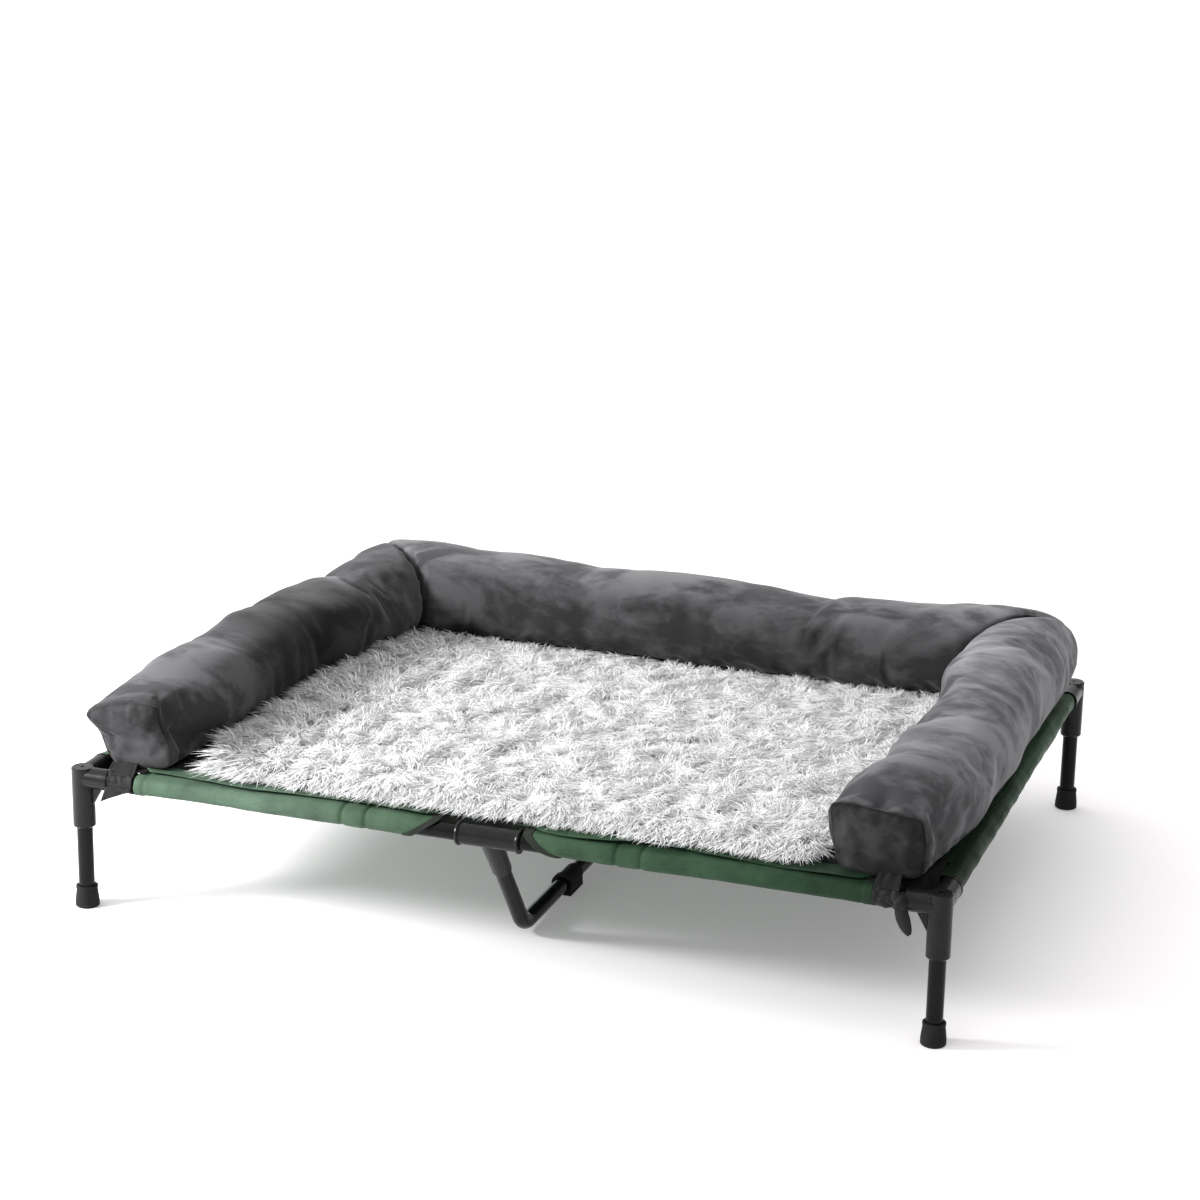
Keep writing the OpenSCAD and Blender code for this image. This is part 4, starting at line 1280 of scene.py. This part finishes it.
# Shortest and longest lock as a share of its tuft, and the narrowest and widest half width
LOCK_LENGTHS = (0.62, 1.08)
LOCK_HALF = (0.45, 0.95)


def well_sides(y):
    """Left and right edge of the mat between the side rolls at a depth y."""
    share = np.clip((y - FRONT_END_Y) / (BACK_AXIS_Y - FRONT_END_Y), 0, 1)
    edges = []
    for side, side_x in SIDES.items():
        edges.append(side_x * (roll_axis(side, share) - roll_inner(side, share)))
    return edges


def pile_edge(y):
    """Left edge of the pile: it keeps clear of the roll, most at the front corner."""
    return well_sides(y)[0] + PILE_SETBACK + CORNER_SETBACK * bell(y - MAT_LOW[1], 45.0)


def root_shade(x, y):
    """Painted shade at the roots of the pile: most at its left and front edges, and hardly in the middle.
    """
    right = well_sides(y)[1]
    dark = 0.95 * bell(x - pile_edge(y), 72.0) + 0.7 * bell(y - MAT_LOW[1], 26.0)
    back = (0.45 - 0.35 * ease(x / 200.0)) * bell(y - MAT_HIGH[1], 40.0)
    return np.clip(dark + 0.25 * bell(x - right, 24.0) + back, 0, 1)


def mat_top(x, y):
    """Height of the pad under the pile."""
    left, right = well_sides(y)
    a = np.clip((x - left) / (right - left), 0, 1) * 2 - 1
    b = np.clip((y - MAT_LOW[1]) / (MAT_HIGH[1] - MAT_LOW[1]), 0, 1) * 2 - 1
    crown = np.sqrt(np.clip(1 - np.abs(a) ** 6, 0, 1) * np.clip(1 - np.abs(b) ** 6, 0, 1))
    lumps = waves(rows(x, y), 95.0, 301)
    return TOPPER_Z + PAD_EDGE + crown * (PAD_CROWN + 2.2 * lumps)


class COT_OT_plush_mat(bpy.types.Operator):
    """Lay the plush mat: a crowned pad under a long, clumped pile"""

    bl_idname = "cot.plush_mat"
    bl_label = "Plush Mat"

    def execute(self, context):
        topper = settings("topper")
        fibre = pile_fibre(topper.pile_root_shade, topper.pile_tip)
        self.pad(fibre)
        self.pile(topper, fibre)
        return {"FINISHED"}

    @staticmethod
    def pad(fibre):
        piece, u, v = new_grid("plush_mat_pad", 90, 70)
        y = MAT_LOW[1] + PAD_INSET + v * (MAT_HIGH[1] - MAT_LOW[1] - 2 * PAD_INSET)
        left, right = pile_edge(y) - 6.0, well_sides(y)[1]
        x = left + u * (right - left - PAD_INSET)
        set_points(piece, rows(x, y, mat_top(x, y)))
        edit_all(piece)
        bpy.ops.mesh.extrude_region_move(TRANSFORM_OT_translate={"value": (0, 0, -4 * MM)})
        bpy.ops.object.mode_set(mode="OBJECT")
        # The second half of the points is the underside, which lies flat on the base cloth
        points = get_points(piece) / MM
        points[len(points) // 2:, 2] = TOPPER_Z
        set_points(piece, points)
        close_seams(piece)
        smooth(piece)
        points = get_points(piece) / MM
        # Painted shade on the pad towards the edges of the pile
        note(piece, pile_tone=0.75 * (1 - 0.8 * root_shade(points[:, 0], points[:, 1])))
        hand_over(piece, fibre, "plush_pile", "plush_mat")

    @staticmethod
    def pile(topper, fibre):
        draw = np.random.default_rng(400)
        step = topper.tuft_spacing / MM
        low_y, high_y = MAT_LOW[1] - PILE_OVERHANG, MAT_HIGH[1]
        ys, xs = np.meshgrid(
            np.arange(low_y, high_y, step), np.arange(*PILE_SPAN_X, step), indexing="ij")
        x = (xs + draw.uniform(-0.5, 0.5, xs.shape) * step).ravel()
        y = np.clip((ys + draw.uniform(-0.5, 0.5, ys.shape) * step).ravel(), low_y, high_y)
        left, right = pile_edge(y), well_sides(y)[1]
        keep = (x > left) & (x < right - 5.0)
        x, y, left, right = x[keep], y[keep], left[keep], right[keep]
        place = rows(x, y)
        at_left, at_front, at_back = x - left, y - low_y, bell(y - high_y, 38.0)
        # The lie of the pile swirls slowly, and the edge tufts fall outwards
        lie = 1.4 * waves(place, 210.0, 411) + 0.9 * waves(place, 50.0, 412)
        lie = lie + draw.normal(0, 1.0, len(x))
        out = rows(-1.3 * bell(at_left, 42.0) + bell(x - right, 16.0),
                   -1.5 * bell(at_front, 24.0) + bell(y - high_y, 14.0))
        lean = rows(np.cos(lie), np.sin(lie))
        lean = lean * (1 - 0.75 * np.clip(np.hypot(*out.T), 0, 1))[:, None] + 1.5 * out
        lean /= np.linalg.norm(lean, axis=1, keepdims=True)
        # Tufts are longer at the left and the front, and lower at the back
        height = draw.uniform(0.66, 1.0, len(x)) * (1 - 0.3 * at_back) * topper.pile_length / MM
        height = height * (1 + 0.30 * bell(at_left, 45.0) + 0.12 * bell(at_front, 20.0))
        near_roll = np.clip(1.3 * bell(at_left, 34.0) + bell(x - right, 24.0), 0, 1.3)
        rise = draw.normal(0.22, 0.07, len(x)) + 0.05 * waves(place, 70.0, 414) + 0.28 * near_roll
        rise = np.clip(rise, 0.06, 0.95) * (1 - 0.55 * bell(at_front, 14.0)) * (1 - 0.2 * at_back)
        speckle = np.clip(waves(place, 34.0, 413) - 1.1, 0, 1.5)
        tone = np.clip(draw.normal(0.98, 0.03, len(x)) - 0.09 * speckle, 0.5, 1.0)
        # Painted shade at the roots towards the edges of the pile, where the tufts also differ more in
        # tone
        dark = root_shade(x, y)
        shadow = PILE_SHADOW * (1 - 0.86 * dark)
        tone = np.clip(tone * (1 - 0.12 * dark) + draw.normal(0, 0.12, len(x)) * dark, 0.3, 1.05)
        root = rows(x, y, mat_top(x, y) - 1.0)
        band = np.floor(at_front / (high_y - low_y + 1e-6) * PILE_BANDS)
        parts = np.array_split(np.argsort(band, kind="stable"), PILE_BANDS)
        for number, part in enumerate(parts, start=1):
            piece = lock_mesh(f"plush_pile_{number}", root[part], lean[part], rise[part], height[part],
                              tone[part], shadow[part], topper.strands_per_tuft, 420 + number)
            hand_over(piece, fibre, "plush_pile", "plush_mat")


def lock_mesh(name, root, lean, rise, height, tone, shadow, count, seed):
    """Pointed three-sided locks of fibre in tufts that lean over and draw together."""
    draw = np.random.default_rng(seed)
    tufts = len(root)
    total = tufts * count
    which = np.repeat(np.arange(tufts), count)
    around = draw.uniform(0, 2 * np.pi, total)
    away = np.sqrt(draw.uniform(0, 1, total)) * TUFT_RADIUS
    spoke = rows(np.cos(around), np.sin(around))
    start = root[which].copy()
    start[:, :2] += away[:, None] * spoke
    edge = (PILE_SHADOW - shadow[which]) / PILE_SHADOW
    fan = draw.normal(0, LOCK_FAN, total) * (1 + 0.6 * edge)
    cos_f, sin_f = np.cos(fan), np.sin(fan)
    lean_x, lean_y = lean[which].T
    head = rows(lean_x * cos_f - lean_y * sin_f, lean_x * sin_f + lean_y * cos_f)
    up = np.clip(rise[which] + draw.normal(0, LOCK_LIFT, total), 0.05, 1.1)
    long = height[which] * draw.uniform(*LOCK_LENGTHS, total)
    flat = np.sqrt(np.clip(1 - np.clip(up, 0, 0.99) ** 2, 0.02, 1))
    curl = draw.normal(0, LOCK_CURL, total) * (1 - 0.5 * edge)
    side = rows(-head[:, 1], head[:, 0])
    wide = draw.uniform(*LOCK_HALF, total) * (1 + 0.5 * edge)
    gather = -((0.35 + 0.45 * edge) * away)[:, None] * spoke

    def place(share):
        """Centre line of every lock: it stands up first and then falls over."""
        fall = share ** 1.7
        p = start.copy()
        p[:, :2] += head * (long * flat * fall)[:, None] + side * (long * curl * share**2)[:, None]
        p[:, :2] += gather * share[:, None]
        p[:, 2] += long * (0.55 * np.sin(share * 1.9) * (0.35 + up) - 0.10 * (1 - up) * share**2)
        return p

    rings = []
    for at, scale in zip(LOCK_AT, LOCK_WIDE):
        middle = place(np.full(total, at))
        ahead = place(np.full(total, min(1.0, at + 0.05))) - middle
        ahead /= np.linalg.norm(ahead, axis=1, keepdims=True)
        across = np.cross(ahead, [0.0, 0.0, 1.0])
        across /= np.linalg.norm(across, axis=1, keepdims=True) + 1e-9
        over = np.cross(across, ahead)
        for corner in LOCK_CORNERS:
            rings.append(middle + (wide * scale)[:, None]
                         * (math.cos(corner) * across + 0.6 * math.sin(corner) * over))
    tip = place(np.ones(total))
    points = np.stack(rings + [tip], axis=1).reshape(-1, 3)
    pattern = [(0, 1, 2)]
    for a, b in ((1, 0), (2, 1), (0, 2)):
        pattern += [(a, b, 3 + b), (a, 3 + b, 3 + a), (3 + a, 3 + b, 6)]
    faces = (np.arange(total)[:, None, None] * 7 + np.array(pattern)[None]).reshape(-1, 3)
    piece = triangle_mesh(name, points, faces)
    shares = np.concatenate([np.repeat(LOCK_AT, 3), [1.0]])
    own = np.clip(tone[which] + draw.normal(0, 1, total) * (0.05 + 0.12 * edge), 0.2, 1.05)
    # Each lock pales from its root, where the painted shade lies, to its tip
    base = shadow[which][:, None]
    values = (base + (1 - base) * shares[None, :] ** (0.6 + 0.7 * edge)[:, None]) * own[:, None]
    note(piece, pile_tone=values.ravel())
    smooth(piece)
    soften(piece)
    return piece


def triangle_mesh(name, points, faces):
    """A piece made of triangles; the points are in millimetres."""
    mesh = bpy.data.meshes.new(name)
    mesh.vertices.add(len(points))
    mesh.vertices.foreach_set("co", points.ravel() * MM)
    mesh.loops.add(3 * len(faces))
    mesh.loops.foreach_set("vertex_index", faces.ravel().astype(np.int32))
    mesh.polygons.add(len(faces))
    mesh.polygons.foreach_set("loop_start", np.arange(0, 3 * len(faces), 3, dtype=np.int32))
    mesh.update(calc_edges=True)
    mesh.validate()
    piece = bpy.data.objects.new(name, mesh)
    bpy.context.collection.objects.link(piece)
    return piece


def soften(piece):
    """Light passes on from lock to lock, so the shading of a lock leans towards that of the whole pile."""
    facing = np.empty(3 * len(piece.data.vertices), dtype=np.float32)
    piece.data.vertex_normals.foreach_get("vector", facing)
    facing = facing.reshape(-1, 3) * (1 - PILE_EVEN) + np.array([0.0, 0.0, PILE_EVEN])
    facing /= np.linalg.norm(facing, axis=1, keepdims=True)
    piece.data.normals_split_custom_set_from_vertices(facing)


# Tie straps

# Where each strap lies along its rail, how high its riser goes and how its half width changes there, how
# far its tail drops and where its knot sits
STRAP_FORM = {
    "left": {"span": (515.0, 553.0), "rise": 15.0, "spread": -4.0, "drop": 20.0, "knot": None},
    "right": {"span": (512.0, 545.0), "rise": 15.0, "spread": -2.0, "drop": 40.0, "knot": (548.0, 190.0)},
}
# Slack of the band round its rail, and how far the tail lies in front of the band
BAND_SLACK = 1.2
TAIL_OFF = 1.6
TAIL_Y = LEG_Y + RAIL_R + BAND_SLACK + TAIL_OFF
# Half width, half depth and half height of the knot, and half the width of the leaf below it
KNOT_HALF = (9.0, 6.0, 10.5)
LEAF_HALF = 8.6


class COT_OT_tie_straps(bpy.types.Operator):
    """Tie the topper to the long rails with four straps"""

    bl_idname = "cot.tie_straps"
    bl_label = "Tie Straps"

    def execute(self, context):
        look = settings("strap")
        webbing = ribbed_tape("strap_webbing", look.webbing_colour, 420, 0.65)
        for end, side_y in ENDS.items():
            for side, side_x in SIDES.items():
                name = f"tie_strap_{end}_{side}"
                piece, area = self.strap(name, STRAP_FORM[side], side_x, side_y, look.thickness)
                hand_over(piece, webbing, "strap_webbing", name)
        return {"FINISHED"}

    def strap(self, name, form, side_x, side_y, thickness):
        seed = 500 + 3 * side_x + 7 * side_y
        parts = [self.band(name, form, seed), self.riser(name, form, seed + 1)]
        if form["knot"]:
            parts += [self.leaf(name, form), self.knot(name, form, seed + 2)]
        else:
            parts.append(self.flap(name, form, seed + 2))
        for piece, places in parts:
            set_points(piece, places * [side_x, side_y, 1])
            close_seams(piece, 0.05)
        piece = join([piece for piece, _ in parts], name + "_webbing")
        area = sum(face.area for face in piece.data.polygons)
        apply_modifier(piece, "SOLIDIFY", thickness=thickness, offset=0.0)
        smooth(piece)
        return piece, round(area, 4)

    @staticmethod
    def band(name, form, seed):
        """One turn round the bare rail, wider where its end is tucked in."""
        inner, outer = form["span"]
        piece, u, w = new_grid(name + "_band", 28, 56)
        angle = 2 * np.pi * w
        x = inner + u * (outer - inner) + 4.0 * u * bell(angle - 3.9, 0.7)
        gathers = waves(rows(3.0 * u, np.cos(angle), np.sin(angle)), 1.1, seed)
        off = RAIL_R + BAND_SLACK + 0.8 * bell(np.abs(u - 0.5) - 0.5, 0.08) + 0.9 * np.abs(gathers)
        return piece, rows(x, LEG_Y - off * np.cos(angle), RAIL_Z + off * np.sin(angle))

    @staticmethod
    def riser(name, form, seed):
        """The end that is gathered out of the lower seam of the roll."""
        inner, outer = form["span"]
        piece, u, w = new_grid(name + "_riser", 28, 30)
        x = (inner + outer) / 2 + (2 * u - 1) * ((outer - inner) / 2 + form["spread"] * w)
        fold = waves(rows(u * 3.0, w * 0.8), 1.2, seed) * (0.3 + 0.7 * w)
        y = LEG_Y + 7.0 - 25.0 * w**0.9 + 0.8 * fold
        return piece, rows(x, y, RAIL_Z + RAIL_R + BAND_SLACK + form["rise"] * w)

    @staticmethod
    def flap(name, form, seed):
        """A pointed tail below the band."""
        inner, outer = form["span"]
        piece, u, w = new_grid(name + "_tail", 14, 26)
        x = inner + u * (outer - inner + 10.0 * w)
        y = TAIL_Y - 1.5 * w + 1.2 * np.sin(np.pi * w) + 0.5 * waves(rows(3.0 * u, w), 1.2, seed)
        return piece, rows(x, y, RAIL_Z - 3.0 - w * (4.0 + form["drop"] * u**1.2))

    @staticmethod
    def leaf(name, form):
        """A tail like a leaf, which hangs from the knot."""
        knot_x, knot_z = form["knot"]
        piece, u, w = new_grid(name + "_tail", 14, 26)
        half = LEAF_HALF * np.sqrt(np.clip(1 - (2 * w**0.8 - 1) ** 2, 0, 1)) + 0.6
        x = knot_x + 12.0 * w + (2 * u - 1) * half
        y = TAIL_Y + 2.0 - 2.4 * (2 * u - 1) ** 2 + 3.0 * np.sin(np.pi * w)
        return piece, rows(x, y, knot_z - 4.0 - form["drop"] * w)

    @staticmethod
    def knot(name, form, seed):
        knot_x, knot_z = form["knot"]
        piece, u, w = new_grid(name + "_knot", 26, 16)
        turn, tilt = 2 * np.pi * u, np.pi * (w - 0.5)
        ball = rows(np.cos(tilt) * np.cos(turn), np.cos(tilt) * np.sin(turn), np.sin(tilt))
        ball = ball * (1 + 0.16 * waves(ball, 1.1, seed))[:, None]
        return piece, np.array([knot_x, TAIL_Y + 2.0, knot_z]) + ball * KNOT_HALF


# Studio

# The surround is brightest in this direction, and dark low on the right
SURROUND_TOWARD = (-0.75, 0.0, 0.62)
# Cosines of the angle to that direction between which the surround fades up from black
SURROUND_FADE = (-0.6, 0.9)
# Where the lamp hangs, what it is aimed at and how wide it is, in metres like the floor and the view
LAMP_PLACE = (-1.5, -1.1, 0.9)
LAMP_AIM = (-0.5, -0.4, 0.2)
LAMP_SIZE = 0.4
FLOOR_SIZE = 60
VIEW_END = 200.0
# The sensor is in millimetres, like the lens
SENSOR_WIDTH = 36.0


class COT_OT_stage(bpy.types.Operator):
    """Set up the pale floor, the soft light and the camera"""

    bl_idname = "cot.stage"
    bl_label = "Studio"

    def execute(self, context):
        studio = settings("stage")
        self.floor(studio)
        self.light(studio)
        self.camera(studio)
        return {"FINISHED"}

    @staticmethod
    def floor(studio):
        clear_selection()
        bpy.ops.mesh.primitive_plane_add(size=FLOOR_SIZE, location=(0, 0, 0))
        floor = bpy.context.object
        floor.name = floor.data.name = "studio_floor"
        paper = Finish("studio_paper", 0.9, Specular_IOR_Level=0.1)
        paper.set(Base_Color=paper.drift(paper.noise(3, 2), studio.floor_colour, 0.995, 1.0, (0.3, 0.7)))
        paper.set(Emission_Color=studio.floor_colour, Emission_Strength=studio.floor_glow)
        floor.data.materials.append(paper.material)

    @staticmethod
    def light(studio):
        scene = bpy.context.scene
        scene.view_settings.view_transform = "Standard"
        world = bpy.data.worlds.new("studio_surround")
        scene.world = world
        world.use_nodes = True
        nodes, links = world.node_tree.nodes, world.node_tree.links
        places = nodes.new("ShaderNodeTexCoord")
        toward = nodes.new("ShaderNodeVectorMath")
        toward.operation = "DOT_PRODUCT"
        toward.inputs[1].default_value = Vector(SURROUND_TOWARD).normalized()
        fade = nodes.new("ShaderNodeMapRange")
        fade.inputs["From Min"].default_value, fade.inputs["From Max"].default_value = SURROUND_FADE
        fade.inputs["To Min"].default_value = 0.0
        fade.inputs["To Max"].default_value = studio.surround
        links.new(places.outputs["Generated"], toward.inputs[0])
        links.new(toward.outputs["Value"], fade.inputs["Value"])
        links.new(fade.outputs["Result"], nodes["Background"].inputs["Strength"])
        nodes["Background"].inputs["Color"].default_value = (1, 1, 1, 1)
        clear_selection()
        bpy.ops.object.light_add(type="AREA", location=LAMP_PLACE)
        lamp = bpy.context.object
        lamp.name = lamp.data.name = "studio_lamp"
        lamp.data.energy = studio.lamp_power
        lamp.data.shape = "DISK"
        lamp.data.size = LAMP_SIZE
        lamp.rotation_euler = (Vector(LAMP_PLACE) - Vector(LAMP_AIM)).to_track_quat("Z", "Y").to_euler()

    @staticmethod
    def camera(studio):
        clear_selection()
        bpy.ops.object.camera_add()
        camera = bpy.context.object
        camera.name = camera.data.name = "studio_camera"
        camera.data.sensor_fit = "HORIZONTAL"
        camera.data.sensor_width = SENSOR_WIDTH
        camera.data.lens = studio.lens
        camera.data.clip_end = VIEW_END
        turn = Matrix.Rotation(studio.camera_azimuth, 4, "Z")
        tilt = Matrix.Rotation(math.pi / 2 - studio.camera_elevation, 4, "X")
        roll = Matrix.Rotation(studio.camera_roll, 4, "Z")
        camera.matrix_world = Matrix.Translation(studio.camera_place) @ turn @ tilt @ roll
        bpy.context.scene.camera = camera


class COT_PT_panel(bpy.types.Panel):
    """Shows the settings of the cot and a button for each of its steps"""

    bl_idname = "COT_PT_panel"
    bl_label = "Raised Pet Cot"
    bl_space_type = "VIEW_3D"
    bl_region_type = "UI"
    bl_category = "Cot"

    def draw(self, context):
        for group in SETTINGS:
            box = self.layout.box()
            box.label(text=group.title())
            for name in getattr(context.scene, "cot_" + group).__annotations__:
                box.prop(getattr(context.scene, "cot_" + group), name)
        for operator in STEPS:
            self.layout.operator(operator.bl_idname)


SETTINGS = {
    "frame": CotFrameSettings,
    "sling": CotSlingSettings,
    "topper": CotTopperSettings,
    "strap": CotStrapSettings,
    "stage": CotStageSettings,
}
STEPS = (
    COT_OT_frame_finish, COT_OT_hem_sleeves, COT_OT_sling_panel, COT_OT_binding_tapes,
    COT_OT_topper_base, COT_OT_bolsters, COT_OT_plush_mat, COT_OT_tie_straps, COT_OT_stage,
)
CLASSES = (*SETTINGS.values(), *STEPS, COT_PT_panel)


def register():
    for kind in CLASSES:
        bpy.utils.register_class(kind)
    for name, kind in SETTINGS.items():
        setattr(bpy.types.Scene, "cot_" + name, PointerProperty(type=kind))


def unregister():
    for name in SETTINGS:
        delattr(bpy.types.Scene, "cot_" + name)
    for kind in reversed(CLASSES):
        bpy.utils.unregister_class(kind)


def main():
    register()
    bpy.ops.cot.frame_finish()
    bpy.ops.cot.hem_sleeves()
    bpy.ops.cot.sling_panel()
    bpy.ops.cot.binding_tapes()
    bpy.ops.cot.topper_base()
    bpy.ops.cot.bolsters()
    bpy.ops.cot.plush_mat()
    bpy.ops.cot.tie_straps()
    bpy.ops.cot.stage()


if __name__ == "__main__":
    main()
